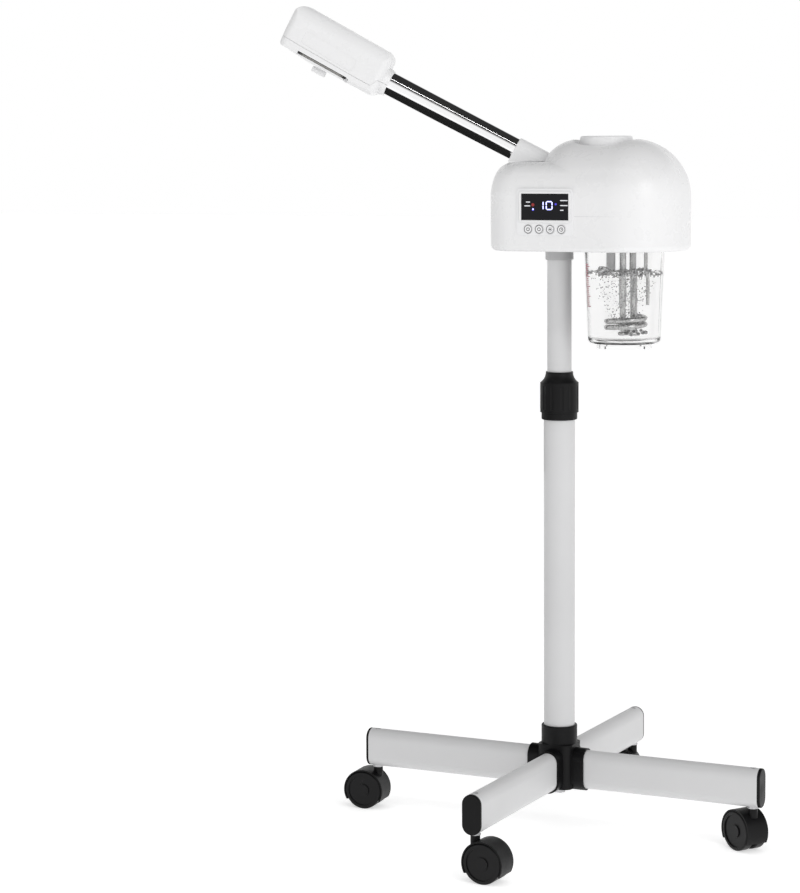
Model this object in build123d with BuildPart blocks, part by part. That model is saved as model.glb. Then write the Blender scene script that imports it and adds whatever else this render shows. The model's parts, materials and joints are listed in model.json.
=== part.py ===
from build123d import *
import os
from math import cos, radians, sin, sqrt, tan

# Facial steamer on a four-legged caster stand.
# Origin: on the floor under the column. +Z up, the control panel faces -Y,
# the water cup hangs on the +X side and the steam arm starts on the -X side.

os.makedirs("parts", exist_ok=True)

# ---------------------------------------------------------------- dimensions
RUN_GAP = 0.05                  # radial gap of a running fit
FREE_GAP = 0.4                  # gap between parts that only pass each other

# base and legs
LEG_HEIGHT = 40.0
LEG_WIDTH = 20.0
LEG_WALL = 1.5
LEG_MID_Z = 66.0
LEG_START = 18.5                # where a leg meets the hub block
LEG_END = 217.0                 # where the end cap's plate begins
LEG_CAP_PLATE = 3.0
LEG_ANGLES = {"right": 0.0, "back": 90.0, "left": 180.0, "front": 270.0}
LEG_BOTTOM_Z = LEG_MID_Z - LEG_HEIGHT / 2
LEG_TOP_Z = LEG_MID_Z + LEG_HEIGHT / 2

HUB_BLOCK = 2 * LEG_START
HUB_SOCKET_END = 31.0
HUB_SOCKET_WALL = 2.0
HUB_TOP_Z = 92.0
HUB_COLLAR_TOP_Z = 111.0
HUB_COLLAR_R = 18.5
HUB_FLOOR_Z = 60.0

# casters
STEM_RADIUS = 3.5
STEM_AT = 210.0                 # distance of a caster stem from the column
STEM_TOP_Z = 76.0
CASTER_TRAIL = 13.0
WHEEL_RADIUS = 20.0
WHEEL_WIDTH = 10.4
WEB_WIDTH = 4.6
WHEEL_GAP = 0.4
AXLE_RADIUS = 2.0
HOOD_OUTER = 22.0
HOOD_INNER = 20.5
HOOD_DROP_ANGLE = 29.0          # how far the hood reaches below the axle
# direction in which each caster trails, in degrees about +Z
CASTER_HEADINGS = {"right": 147.0, "back": 196.0, "left": 184.0, "front": 357.0}

# column
LOWER_TUBE_R = 16.0
LOWER_TUBE_WALL = 1.5
LOWER_TUBE_TOP_Z = 450.0
UPPER_TUBE_R = 12.5
UPPER_TUBE_WALL = 1.3
UPPER_TUBE_BOTTOM_Z = 225.0
UPPER_TUBE_TOP_Z = 636.0
CLAMP_BOTTOM_Z = 428.0
CLAMP_RING_TOP_Z = 435.6
CLAMP_FLARE_Z = 466.0
CLAMP_TOP_Z = 477.0
CLAMP_RING_R = 18.35
CLAMP_BODY_R = 19.7
CLAMP_NECK_R = 14.0
CLAMP_SPIGOT_R = 17.5
SLEEVE_R = 14.35
SLEEVE_BOTTOM_Z = 591.5

# head housing
HEAD_BOTTOM_Z = 602.0
HEAD_WALL_TOP_Z = 656.0         # the side walls are upright up to here
DOME_TOP_Z = 714.0
SHELF_Z = 691.0
HEAD_LEFT_X = -58.0
HEAD_RIGHT_X = 135.4
HEAD_HALF_DEPTH = 65.0
HEAD_LEFT_CORNER = 30.0
SHELL_WALL = 2.5
DOME_FLAT_LEFT_X = 24.0
DOME_FLAT_RIGHT_X = 78.4
DOME_LEFT_REACH = 36.0
DOME_LEFT_RISE = 32.0
CORNER_SHARE = 0.89             # plan corner radius over half depth
SHELF_LEFT_INSET = 13.0
SHELF_SHOULDER = 12.0
SHELF_RIGHT_X = 45.0

# filler
CAP_X = 51.2
CAP_RADIUS = 26.5
CAP_TOP_Z = 717.0
CAP_FOOT_Z = 706.6
DISH_FLOOR_Z = 706.0
NECK_OUTER = 23.0
NECK_INNER = 20.5

# cup
CUP_X = 70.8
CUP_TOP_R = 40.3
CUP_BASE_R = 36.7
CUP_WALL = 2.2
CUP_RIM_Z = 620.0
CUP_BASE_Z = 508.5
CUP_FOOT_Z = 503.5
CUP_FOOT_R = 27.8
LID_Z = 624.0

# control panel
PANEL_X = 11.7
PANEL_WIDTH = 61.0
PANEL_BOTTOM_Z = 618.7
PANEL_TOP_Z = 665.0
PANEL_FACE_Y = -65.8
DISPLAY_WIDTH = 51.0
DISPLAY_HEIGHT = 26.4
DISPLAY_Z = 646.8
BUTTON_RADIUS = 4.4
BUTTON_PITCH = 11.95
BUTTON_Z = 624.6

# steam arm
ARM_PIVOT_X = -28.0
ARM_AXIS_Z = 693.5
ARM_AZIMUTH = radians(199.0)
ARM_RISE = radians(27.66)
ARM_SLEEVE_START = -13.0
ARM_SLEEVE_END = 22.0
ARM_SLEEVE_R = 13.2
ARM_TUBE_START = 5.0
ARM_TUBE_R_LOW = 11.6
ARM_TUBE_R_HIGH = 12.5
ARM_TUBE_WALL = 1.0
NECK_AT = 167.5                 # where the nozzle starts along the arm
NOSE_AT = 287.0
NOZZLE_HALF_WIDTH = 22.0
NOZZLE_WALL = 2.2

HEAD_PLAN_MID_X = (HEAD_LEFT_X + HEAD_RIGHT_X) / 2

arm_frame = Plane(
    origin=(ARM_PIVOT_X, 0, ARM_AXIS_Z),
    x_dir=(-sin(ARM_AZIMUTH), cos(ARM_AZIMUTH), 0),
    z_dir=(cos(ARM_RISE) * cos(ARM_AZIMUTH), cos(ARM_RISE) * sin(ARM_AZIMUTH), sin(ARM_RISE)),
)
# the arm's own side view: local x runs along the arm, local y is its upper side
arm_side = Plane(origin=arm_frame.origin, x_dir=arm_frame.z_dir, z_dir=-arm_frame.x_dir)


def leg_plane(angle, distance):
    """Plane across a leg at this distance from the column, facing outwards."""
    outward = Vector(cos(radians(angle)), sin(radians(angle)), 0)
    return Plane(
        origin=outward * distance + Vector(0, 0, LEG_MID_Z),
        x_dir=(-sin(radians(angle)), cos(radians(angle)), 0),
        z_dir=outward,
    )


def stem_position(angle):
    """Floor position of a leg's caster stem."""
    return Vector(cos(radians(angle)), sin(radians(angle)), 0) * STEM_AT


# ---------------------------------------------------------------------- base
with BuildPart() as base_hub:
    with BuildSketch(Plane.XY.offset(LEG_BOTTOM_Z)):
        RectangleRounded(HUB_BLOCK, HUB_BLOCK, 9)
    extrude(amount=HUB_TOP_Z - LEG_BOTTOM_Z)
    with BuildSketch(Plane.XY.offset(HUB_TOP_Z - 4)):
        Circle(HUB_COLLAR_R)
    extrude(amount=HUB_COLLAR_TOP_Z - HUB_TOP_Z + 4)
    for angle in LEG_ANGLES.values():
        with BuildSketch(leg_plane(angle, LEG_START - 6)):
            SlotOverall(LEG_HEIGHT + 2 * HUB_SOCKET_WALL, LEG_WIDTH + 2 * HUB_SOCKET_WALL, rotation=90)
        extrude(amount=HUB_SOCKET_END - LEG_START + 6)
    for angle in LEG_ANGLES.values():
        with BuildSketch(leg_plane(angle, LEG_START)):
            SlotOverall(LEG_HEIGHT, LEG_WIDTH, rotation=90)
        extrude(amount=HUB_SOCKET_END - LEG_START + 1, mode=Mode.SUBTRACT)
    with BuildSketch(Plane.XY.offset(HUB_FLOOR_Z)):
        Circle(LOWER_TUBE_R)
    extrude(amount=HUB_COLLAR_TOP_Z - HUB_FLOOR_Z + 1, mode=Mode.SUBTRACT)
    with BuildSketch(Plane.XY.offset(LEG_BOTTOM_Z - HUB_SOCKET_WALL)):
        Circle(4.3)
    extrude(amount=HUB_FLOOR_Z - LEG_BOTTOM_Z + HUB_SOCKET_WALL + 1, mode=Mode.SUBTRACT)
    collar_rim = base_hub.edges().filter_by(GeomType.CIRCLE).group_by(Axis.Z)[-1]
    fillet(collar_rim.sort_by(SortBy.RADIUS)[-1], 1.0)
base_hub.part.label = "base_hub"
export_step(base_hub.part, "parts/base_hub.step")

# centre bolt with its washer
with BuildPart() as hub_bolt:
    with BuildSketch(Plane.XY.offset(LEG_BOTTOM_Z - 1.5)):
        Circle(8)
    extrude(amount=1.5)
    with BuildSketch(Plane.XY.offset(LEG_BOTTOM_Z - 6.5)):
        RegularPolygon(6.5, 6, major_radius=True)
    extrude(amount=5)
    with BuildSketch(Plane.XY.offset(LEG_BOTTOM_Z)):
        Circle(4)
    extrude(amount=28)
hub_bolt.part.label = "hub_bolt"
export_step(hub_bolt.part, "parts/hub_bolt.step")

for name, angle in LEG_ANGLES.items():
    stem = stem_position(angle)
    with BuildPart() as leg:
        with BuildSketch(leg_plane(angle, LEG_START)):
            SlotOverall(LEG_HEIGHT, LEG_WIDTH, rotation=90)
            SlotOverall(LEG_HEIGHT - 2 * LEG_WALL, LEG_WIDTH - 2 * LEG_WALL, rotation=90, mode=Mode.SUBTRACT)
        extrude(amount=LEG_END - LEG_START)
        with BuildSketch(Plane.XY.offset(LEG_BOTTOM_Z - 1)):
            with Locations((stem.X, stem.Y)):
                Circle(5.6)
        extrude(amount=LEG_HEIGHT / 2, mode=Mode.SUBTRACT)
        with BuildSketch(Plane.XY.offset(LEG_TOP_Z + 1)):
            with Locations((stem.X, stem.Y)):
                Circle(3)
        extrude(amount=-LEG_HEIGHT / 2, mode=Mode.SUBTRACT)
    leg.part.label = f"leg_{name}"
    export_step(leg.part, f"parts/leg_{name}.step")

# moulded end caps: a plate outside the tube and a plug that holds the stem
with BuildPart() as leg_end_caps:
    for angle in LEG_ANGLES.values():
        stem = stem_position(angle)
        with BuildSketch(leg_plane(angle, LEG_END)):
            SlotOverall(LEG_HEIGHT, LEG_WIDTH, rotation=90)
        extrude(amount=LEG_CAP_PLATE)
        outward = leg_plane(angle, LEG_END).z_dir
        outer_rim = leg_end_caps.edges().filter_by(
            lambda edge: edge.center().dot(outward) > LEG_END + LEG_CAP_PLATE - 0.01)
        fillet(outer_rim, 1.2)
        with BuildSketch(leg_plane(angle, STEM_AT - 12)):
            SlotOverall(LEG_HEIGHT - 2 * LEG_WALL, LEG_WIDTH - 2 * LEG_WALL, rotation=90)
        extrude(amount=LEG_END - STEM_AT + 12)
        with BuildSketch(Plane.XY.offset(LEG_BOTTOM_Z - 1)):
            with Locations((stem.X, stem.Y)):
                Circle(5)
        extrude(amount=STEM_TOP_Z - LEG_BOTTOM_Z + 2, mode=Mode.SUBTRACT)
leg_end_caps.part.label = "leg_end_caps"
export_step(leg_end_caps.part, "parts/leg_end_caps.step")

# steel sleeves in the caps, in which the caster stems turn
with BuildPart() as stem_sleeves:
    stems = [stem_position(angle) for angle in LEG_ANGLES.values()]
    with BuildSketch(Plane.XY.offset(LEG_BOTTOM_Z - 1)):
        with Locations(*[(stem.X, stem.Y) for stem in stems]):
            Circle(5.5)
    extrude(amount=1)
    with BuildSketch(Plane.XY.offset(LEG_BOTTOM_Z)):
        with Locations(*[(stem.X, stem.Y) for stem in stems]):
            Circle(5)
    extrude(amount=STEM_TOP_Z - LEG_BOTTOM_Z)
    with BuildSketch(Plane.XY.offset(LEG_BOTTOM_Z - 1)):
        with Locations(*[(stem.X, stem.Y) for stem in stems]):
            Circle(STEM_RADIUS + RUN_GAP)
    extrude(amount=STEM_TOP_Z - LEG_BOTTOM_Z + 2, mode=Mode.SUBTRACT)
stem_sleeves.part.label = "stem_sleeves"
export_step(stem_sleeves.part, "parts/stem_sleeves.step")

# ------------------------------------------------------------------- casters
HOOD_TOP_Z = WHEEL_RADIUS + sqrt(HOOD_OUTER ** 2 - CASTER_TRAIL ** 2)
CASTER_NECK_TOP_Z = LEG_BOTTOM_Z - 1 - FREE_GAP
HOOD_WIDTH = WEB_WIDTH + 2 * (WHEEL_GAP + WHEEL_WIDTH) - 1.0

for name, angle in LEG_ANGLES.items():
    stem = stem_position(angle)
    heading = radians(CASTER_HEADINGS[name])
    trail_dir = Vector(cos(heading), sin(heading), 0)
    axle_dir = Vector(-sin(heading), cos(heading), 0)
    axle_point = stem + trail_dir * CASTER_TRAIL + Vector(0, 0, WHEEL_RADIUS)
    # side plane: local x is the trail direction, local y is up, normal is minus the axle
    side = Plane(origin=axle_point, x_dir=trail_dir, z_dir=-axle_dir)

    with BuildPart() as caster_hood:
        with BuildSketch(side.offset(-WEB_WIDTH / 2)):
            Circle(HOOD_INNER - 4)
        extrude(amount=WEB_WIDTH)
        with BuildSketch(side.offset(-HOOD_WIDTH / 2)):
            Circle(HOOD_OUTER)
            Circle(HOOD_INNER, mode=Mode.SUBTRACT)
            with Locations((0, -HOOD_OUTER - HOOD_OUTER * sin(radians(HOOD_DROP_ANGLE)))):
                Rectangle(3 * HOOD_OUTER, 2 * HOOD_OUTER, mode=Mode.SUBTRACT)
        extrude(amount=HOOD_WIDTH)
        with BuildSketch(side.offset(-WEB_WIDTH / 2)):
            Circle(HOOD_INNER + 0.5)
            with Locations((0, -HOOD_OUTER)):
                Rectangle(3 * HOOD_OUTER, 2 * HOOD_OUTER, mode=Mode.SUBTRACT)
        extrude(amount=WEB_WIDTH)
        with BuildSketch(Plane.XY.offset(HOOD_TOP_Z - 2.5)):
            with Locations((stem.X, stem.Y)):
                Circle(4.8)
        extrude(amount=CASTER_NECK_TOP_Z - HOOD_TOP_Z + 2.5)
        # the neck is cut back clear of the two wheels
        for well_sign in (1, -1):
            with BuildSketch(side.offset(well_sign * (WEB_WIDTH / 2 + 0.05))):
                Circle(HOOD_INNER - 0.1)
            extrude(amount=well_sign * 2 * WHEEL_WIDTH, mode=Mode.SUBTRACT)
        with BuildSketch(Plane.XY.offset(CASTER_NECK_TOP_Z - 8)):
            with Locations((stem.X, stem.Y)):
                Circle(STEM_RADIUS)
        extrude(amount=9, mode=Mode.SUBTRACT)
        with BuildSketch(side.offset(-WEB_WIDTH)):
            Circle(AXLE_RADIUS)
        extrude(amount=2 * WEB_WIDTH, mode=Mode.SUBTRACT)
    caster_hood.part.label = f"caster_{name}_hood"
    export_step(caster_hood.part, f"parts/caster_{name}_hood.step")

    with BuildPart() as caster_pins:
        with BuildSketch(Plane.XY.offset(CASTER_NECK_TOP_Z - 8)):
            with Locations((stem.X, stem.Y)):
                Circle(STEM_RADIUS)
        extrude(amount=STEM_TOP_Z - 1 - CASTER_NECK_TOP_Z + 8)
        with BuildSketch(side.offset(-WEB_WIDTH / 2 - WHEEL_GAP - WHEEL_WIDTH + 2)):
            Circle(AXLE_RADIUS)
        extrude(amount=WEB_WIDTH + 2 * (WHEEL_GAP + WHEEL_WIDTH - 2))
    caster_pins.part.label = f"caster_{name}_pins"
    export_step(caster_pins.part, f"parts/caster_{name}_pins.step")

    for wheel_side, sign in (("a", 1), ("b", -1)):
        inner_face = side.offset(sign * (WEB_WIDTH / 2 + WHEEL_GAP))
        outwards = Plane(origin=inner_face.origin, x_dir=trail_dir, z_dir=inner_face.z_dir * sign)
        with BuildPart() as wheel:
            with BuildSketch(outwards):
                Circle(WHEEL_RADIUS)
            extrude(amount=WHEEL_WIDTH)
            rims = wheel.edges().filter_by(GeomType.CIRCLE).filter_by(
                lambda edge: edge.radius > WHEEL_RADIUS - 0.1)
            fillet(rims, 1.6)
            # shallow dish in the outer face, with a raised hub cap
            with BuildSketch(outwards.offset(WHEEL_WIDTH)):
                Circle(WHEEL_RADIUS - 3.6)
                Circle(6.5, mode=Mode.SUBTRACT)
            extrude(amount=-1.2, mode=Mode.SUBTRACT)
            with BuildSketch(outwards):
                Circle(AXLE_RADIUS + RUN_GAP)
            extrude(amount=WHEEL_WIDTH - 1.6, mode=Mode.SUBTRACT)
        wheel.part.label = f"caster_{name}_wheel_{wheel_side}"
        export_step(wheel.part, f"parts/caster_{name}_wheel_{wheel_side}.step")

# -------------------------------------------------------------------- column
with BuildPart() as lower_column_tube:
    with BuildSketch(Plane.XY.offset(HUB_FLOOR_Z)):
        Circle(LOWER_TUBE_R)
        Circle(LOWER_TUBE_R - LOWER_TUBE_WALL, mode=Mode.SUBTRACT)
    extrude(amount=LOWER_TUBE_TOP_Z - HUB_FLOOR_Z)
lower_column_tube.part.label = "lower_column_tube"
export_step(lower_column_tube.part, "parts/lower_column_tube.step")

# steel plug in the foot of the tube, into which the centre bolt screws
with BuildPart() as column_foot_plug:
    with BuildSketch(Plane.XY.offset(HUB_FLOOR_Z)):
        Circle(LOWER_TUBE_R - LOWER_TUBE_WALL)
        Circle(4, mode=Mode.SUBTRACT)
    extrude(amount=15)
column_foot_plug.part.label = "column_foot_plug"
export_step(column_foot_plug.part, "parts/column_foot_plug.step")

# plastic guide in the top of the lower tube, with a split collet above it
COLLET_TOP_Z = CLAMP_FLARE_Z
with BuildPart() as column_guide:
    with BuildSketch(Plane.XY.offset(LOWER_TUBE_TOP_Z - 60)):
        Circle(LOWER_TUBE_R - LOWER_TUBE_WALL)
    extrude(amount=60)
    with BuildSketch(Plane.XY.offset(LOWER_TUBE_TOP_Z)):
        Circle(LOWER_TUBE_R)
    extrude(amount=2)
    with BuildSketch(Plane.XY.offset(LOWER_TUBE_TOP_Z + 2)):
        Circle(15)
    extrude(amount=COLLET_TOP_Z - LOWER_TUBE_TOP_Z - 2)
    with BuildSketch(Plane.XY.offset(LOWER_TUBE_TOP_Z - 61)):
        Circle(UPPER_TUBE_R + RUN_GAP)
    extrude(amount=COLLET_TOP_Z - LOWER_TUBE_TOP_Z + 62, mode=Mode.SUBTRACT)
    with Locations((0, 0, LOWER_TUBE_TOP_Z + 4)):
        for turn in (0, 60, 120):
            Box(40, 1.2, 20, rotation=(0, 0, turn), align=(Align.CENTER, Align.CENTER, Align.MIN),
                mode=Mode.SUBTRACT)
column_guide.part.label = "column_guide"
export_step(column_guide.part, "parts/column_guide.step")

with BuildPart() as clamp_ring:
    with BuildSketch(Plane.XY.offset(CLAMP_BOTTOM_Z)):
        Circle(CLAMP_RING_R)
    extrude(amount=CLAMP_RING_TOP_Z - CLAMP_BOTTOM_Z - 0.3)
    fillet(clamp_ring.edges().group_by(Axis.Z)[0], 1.2)
    with BuildSketch(Plane.XY.offset(CLAMP_RING_TOP_Z - 1)):
        Circle(CLAMP_SPIGOT_R)
    extrude(amount=13)
    with BuildSketch(Plane.XY.offset(CLAMP_BOTTOM_Z - 1)):
        Circle(LOWER_TUBE_R)
    extrude(amount=24, mode=Mode.SUBTRACT)
clamp_ring.part.label = "clamp_ring"
export_step(clamp_ring.part, "parts/clamp_ring.step")

# knob that closes the collet when it is turned; shallow flutes for the hand
with BuildPart() as clamp_knob:
    with BuildSketch(Plane.XZ):
        with BuildLine():
            Line((CLAMP_SPIGOT_R + RUN_GAP, CLAMP_RING_TOP_Z), (CLAMP_BODY_R, CLAMP_RING_TOP_Z))
            Line((CLAMP_BODY_R, CLAMP_RING_TOP_Z), (CLAMP_BODY_R, CLAMP_FLARE_Z))
            ThreePointArc((CLAMP_BODY_R, CLAMP_FLARE_Z), (CLAMP_NECK_R + 1.6, CLAMP_FLARE_Z + 4.4),
                          (CLAMP_NECK_R, CLAMP_TOP_Z))
            Line((CLAMP_NECK_R, CLAMP_TOP_Z), (UPPER_TUBE_R + FREE_GAP, CLAMP_TOP_Z))
            Line((UPPER_TUBE_R + FREE_GAP, CLAMP_TOP_Z), (UPPER_TUBE_R + FREE_GAP, CLAMP_FLARE_Z + 1))
            Line((UPPER_TUBE_R + FREE_GAP, CLAMP_FLARE_Z + 1), (15.5, CLAMP_FLARE_Z + 0.5))
            Line((15.5, CLAMP_FLARE_Z + 0.5), (16.6, CLAMP_RING_TOP_Z + 16))
            Line((16.6, CLAMP_RING_TOP_Z + 16), (CLAMP_SPIGOT_R + RUN_GAP, CLAMP_RING_TOP_Z + 13))
            Line((CLAMP_SPIGOT_R + RUN_GAP, CLAMP_RING_TOP_Z + 13),
                 (CLAMP_SPIGOT_R + RUN_GAP, CLAMP_RING_TOP_Z))
        make_face()
    revolve(axis=Axis.Z)
    with BuildSketch(Plane.XY.offset(CLAMP_RING_TOP_Z + 3)):
        with PolarLocations(CLAMP_BODY_R + 3.4, 12):
            Circle(4)
    extrude(amount=CLAMP_FLARE_Z - CLAMP_RING_TOP_Z - 6, mode=Mode.SUBTRACT)
clamp_knob.part.label = "clamp_knob"
export_step(clamp_knob.part, "parts/clamp_knob.step")

with BuildPart() as upper_column_tube:
    with BuildSketch(Plane.XY.offset(UPPER_TUBE_BOTTOM_Z)):
        Circle(UPPER_TUBE_R)
        Circle(UPPER_TUBE_R - UPPER_TUBE_WALL, mode=Mode.SUBTRACT)
    extrude(amount=UPPER_TUBE_TOP_Z - UPPER_TUBE_BOTTOM_Z)
upper_column_tube.part.label = "upper_column_tube"
export_step(upper_column_tube.part, "parts/upper_column_tube.step")

# grey bearing sleeve on the tube; the head turns on it
with BuildPart() as column_sleeve:
    with BuildSketch(Plane.XY.offset(SLEEVE_BOTTOM_Z)):
        Circle(SLEEVE_R)
        Circle(UPPER_TUBE_R, mode=Mode.SUBTRACT)
    extrude(amount=UPPER_TUBE_TOP_Z - SLEEVE_BOTTOM_Z)
    chamfer(column_sleeve.edges().group_by(Axis.Z)[0].sort_by(SortBy.RADIUS)[-1], 0.6)
column_sleeve.part.label = "column_sleeve"
export_step(column_sleeve.part, "parts/column_sleeve.step")


# ---------------------------------------------------------------------- head
def quarter(height, start, rise):
    """1 at the start height, falling to 0 along a quarter ellipse at start + rise."""
    share = min(max((height - start) / rise, 0.0), 1.0)
    return sqrt(max(1.0 - share * share, 0.0))


def dome_section(height, inset):
    """Left X, right X, half depth and corner radius of the dome at this height."""
    rise = DOME_TOP_Z - HEAD_WALL_TOP_Z - inset
    side_share = quarter(height, HEAD_WALL_TOP_Z, rise)
    left_share = quarter(height, SHELF_Z - 9.0, DOME_LEFT_RISE - inset)
    half_depth = (HEAD_HALF_DEPTH - inset) * side_share
    right = DOME_FLAT_RIGHT_X + (HEAD_RIGHT_X - inset - DOME_FLAT_RIGHT_X) * side_share
    left = DOME_FLAT_LEFT_X - (DOME_LEFT_REACH - inset) * left_share
    return left, right, half_depth, CORNER_SHARE * half_depth


def shelf_section(height, inset):
    """The same for the low part at the left, under the arm."""
    rise = SHELF_Z - HEAD_WALL_TOP_Z - inset
    shoulder_start = SHELF_Z - SHELF_SHOULDER
    full = quarter(height, HEAD_WALL_TOP_Z, DOME_TOP_Z - HEAD_WALL_TOP_Z - inset)
    shoulder = (SHELF_SHOULDER - inset) * (1 - quarter(height, shoulder_start, SHELF_SHOULDER - inset))
    half_depth = (HEAD_HALF_DEPTH - inset) * full - shoulder
    left = HEAD_LEFT_X + inset + SHELF_LEFT_INSET * (1 - quarter(height, HEAD_WALL_TOP_Z, rise))
    return left, SHELF_RIGHT_X, half_depth, HEAD_LEFT_CORNER - inset


def loft_block(section, heights, inset):
    """Lofted block through the plan sections at these heights, as a private object."""
    faces = []
    for height in heights:
        left, right, half_depth, corner = section(height, inset)
        plan = Rectangle(right - left, 2 * half_depth, mode=Mode.PRIVATE)
        rounded = fillet(plan.vertices(), corner)
        faces.append(Pos((left + right) / 2, 0, height) * rounded.face())
    return loft(faces)


def left_low_block(height_low, heights, inset):
    """Block under the shelf: rounded only at its left corners."""
    faces = []
    for height in [height_low, *heights]:
        left, right, half_depth, corner = shelf_section(height, inset)
        plan = Rectangle(right - left, 2 * half_depth, mode=Mode.PRIVATE)
        rounded = fillet(plan.vertices().sort_by(Axis.X)[0:2], corner)
        faces.append(Pos((left + right) / 2, 0, height) * rounded.face())
    return loft(faces)


def wall_prism(low, high, inset):
    """Upright part of the housing's walls."""
    left_corner = HEAD_LEFT_CORNER - inset
    right_corner = CORNER_SHARE * (HEAD_HALF_DEPTH - inset)
    plan = Rectangle(HEAD_RIGHT_X - HEAD_LEFT_X - 2 * inset, 2 * (HEAD_HALF_DEPTH - inset))
    plan = fillet(plan.vertices().sort_by(Axis.X)[0:2], left_corner)
    plan = fillet(plan.vertices().sort_by(Axis.X)[-2:], right_corner)
    return extrude(Pos(HEAD_PLAN_MID_X, 0, low) * plan.face(), high - low)


DOME_HEIGHTS = [HEAD_WALL_TOP_Z, 664.0, 673.0, 682.0, 690.0, 697.5, 703.5, 708.5, 711.8, 713.5]
SHELF_HEIGHTS = [HEAD_WALL_TOP_Z, 664.0, 672.0, 679.0, 684.0, 688.0, 690.2, SHELF_Z]


def housing(inset):
    """Solid housing whose faces lie this far inside the outer surface."""
    dome_heights = [height - inset * (height - HEAD_WALL_TOP_Z) / (DOME_TOP_Z - HEAD_WALL_TOP_Z)
                    for height in DOME_HEIGHTS]
    shelf_heights = [height - inset * (height - HEAD_WALL_TOP_Z) / (SHELF_Z - HEAD_WALL_TOP_Z)
                     for height in SHELF_HEIGHTS]
    low = HEAD_BOTTOM_Z if inset == 0 else HEAD_BOTTOM_Z - 1
    walls = wall_prism(low, HEAD_WALL_TOP_Z, inset)
    dome = loft_block(dome_section, dome_heights, inset)
    shelf = left_low_block(HEAD_WALL_TOP_Z, shelf_heights[1:], inset)
    return walls + dome + shelf


outer_housing = housing(0.0)
bottom_edge = outer_housing.edges().group_by(Axis.Z)[0]
outer_housing = fillet(bottom_edge, 6.0)

# the cavity keeps a lip at the bottom, in which the base plate lies
LIP_INSET = 7.0
LIP_TOP_Z = 605.5
above_lip = Pos(HEAD_PLAN_MID_X, 0, LIP_TOP_Z) * Box(
    300, 200, 200, align=(Align.CENTER, Align.CENTER, Align.MIN))
cavity = (housing(SHELL_WALL) & above_lip) + wall_prism(HEAD_BOTTOM_Z - 1, LIP_TOP_Z, LIP_INSET)

# thicker roof round the filler, so that the dish can be cut into it
DISH_RIM_R = 34.5
DISH_FLOOR_R = 28.0
dish_backing = outer_housing & (Pos(CAP_X, 0, DISH_FLOOR_Z - 2.5) * Cylinder(
    DISH_RIM_R + 2, 30, align=(Align.CENTER, Align.CENTER, Align.MIN)))

SCREW_SPOTS = [(-32, 50), (-32, -50), (92, 50), (92, -50)]
SPIGOT_R = 11.0
ELBOW_BOSS_Z = 678.0
PANEL_MID_Z = (PANEL_BOTTOM_Z + PANEL_TOP_Z) / 2
PANEL_HEIGHT = PANEL_TOP_Z - PANEL_BOTTOM_Z
PANEL_SIDE_LIP = 2.2
PANEL_END_LIP = 0.7
INLET_X = 60.0
INLET_Z = 624.0
INLET_WIDTH = 28.0
INLET_HEIGHT = 21.0
BUTTON_XS = [PANEL_X + BUTTON_PITCH * step for step in (-1.5, -0.5, 0.5, 1.5)]

panel_plane = Plane(origin=(0, -HEAD_HALF_DEPTH, 0), x_dir=(1, 0, 0), z_dir=(0, -1, 0))
rear_plane = Plane(origin=(0, HEAD_HALF_DEPTH, 0), x_dir=(-1, 0, 0), z_dir=(0, 1, 0))

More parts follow.
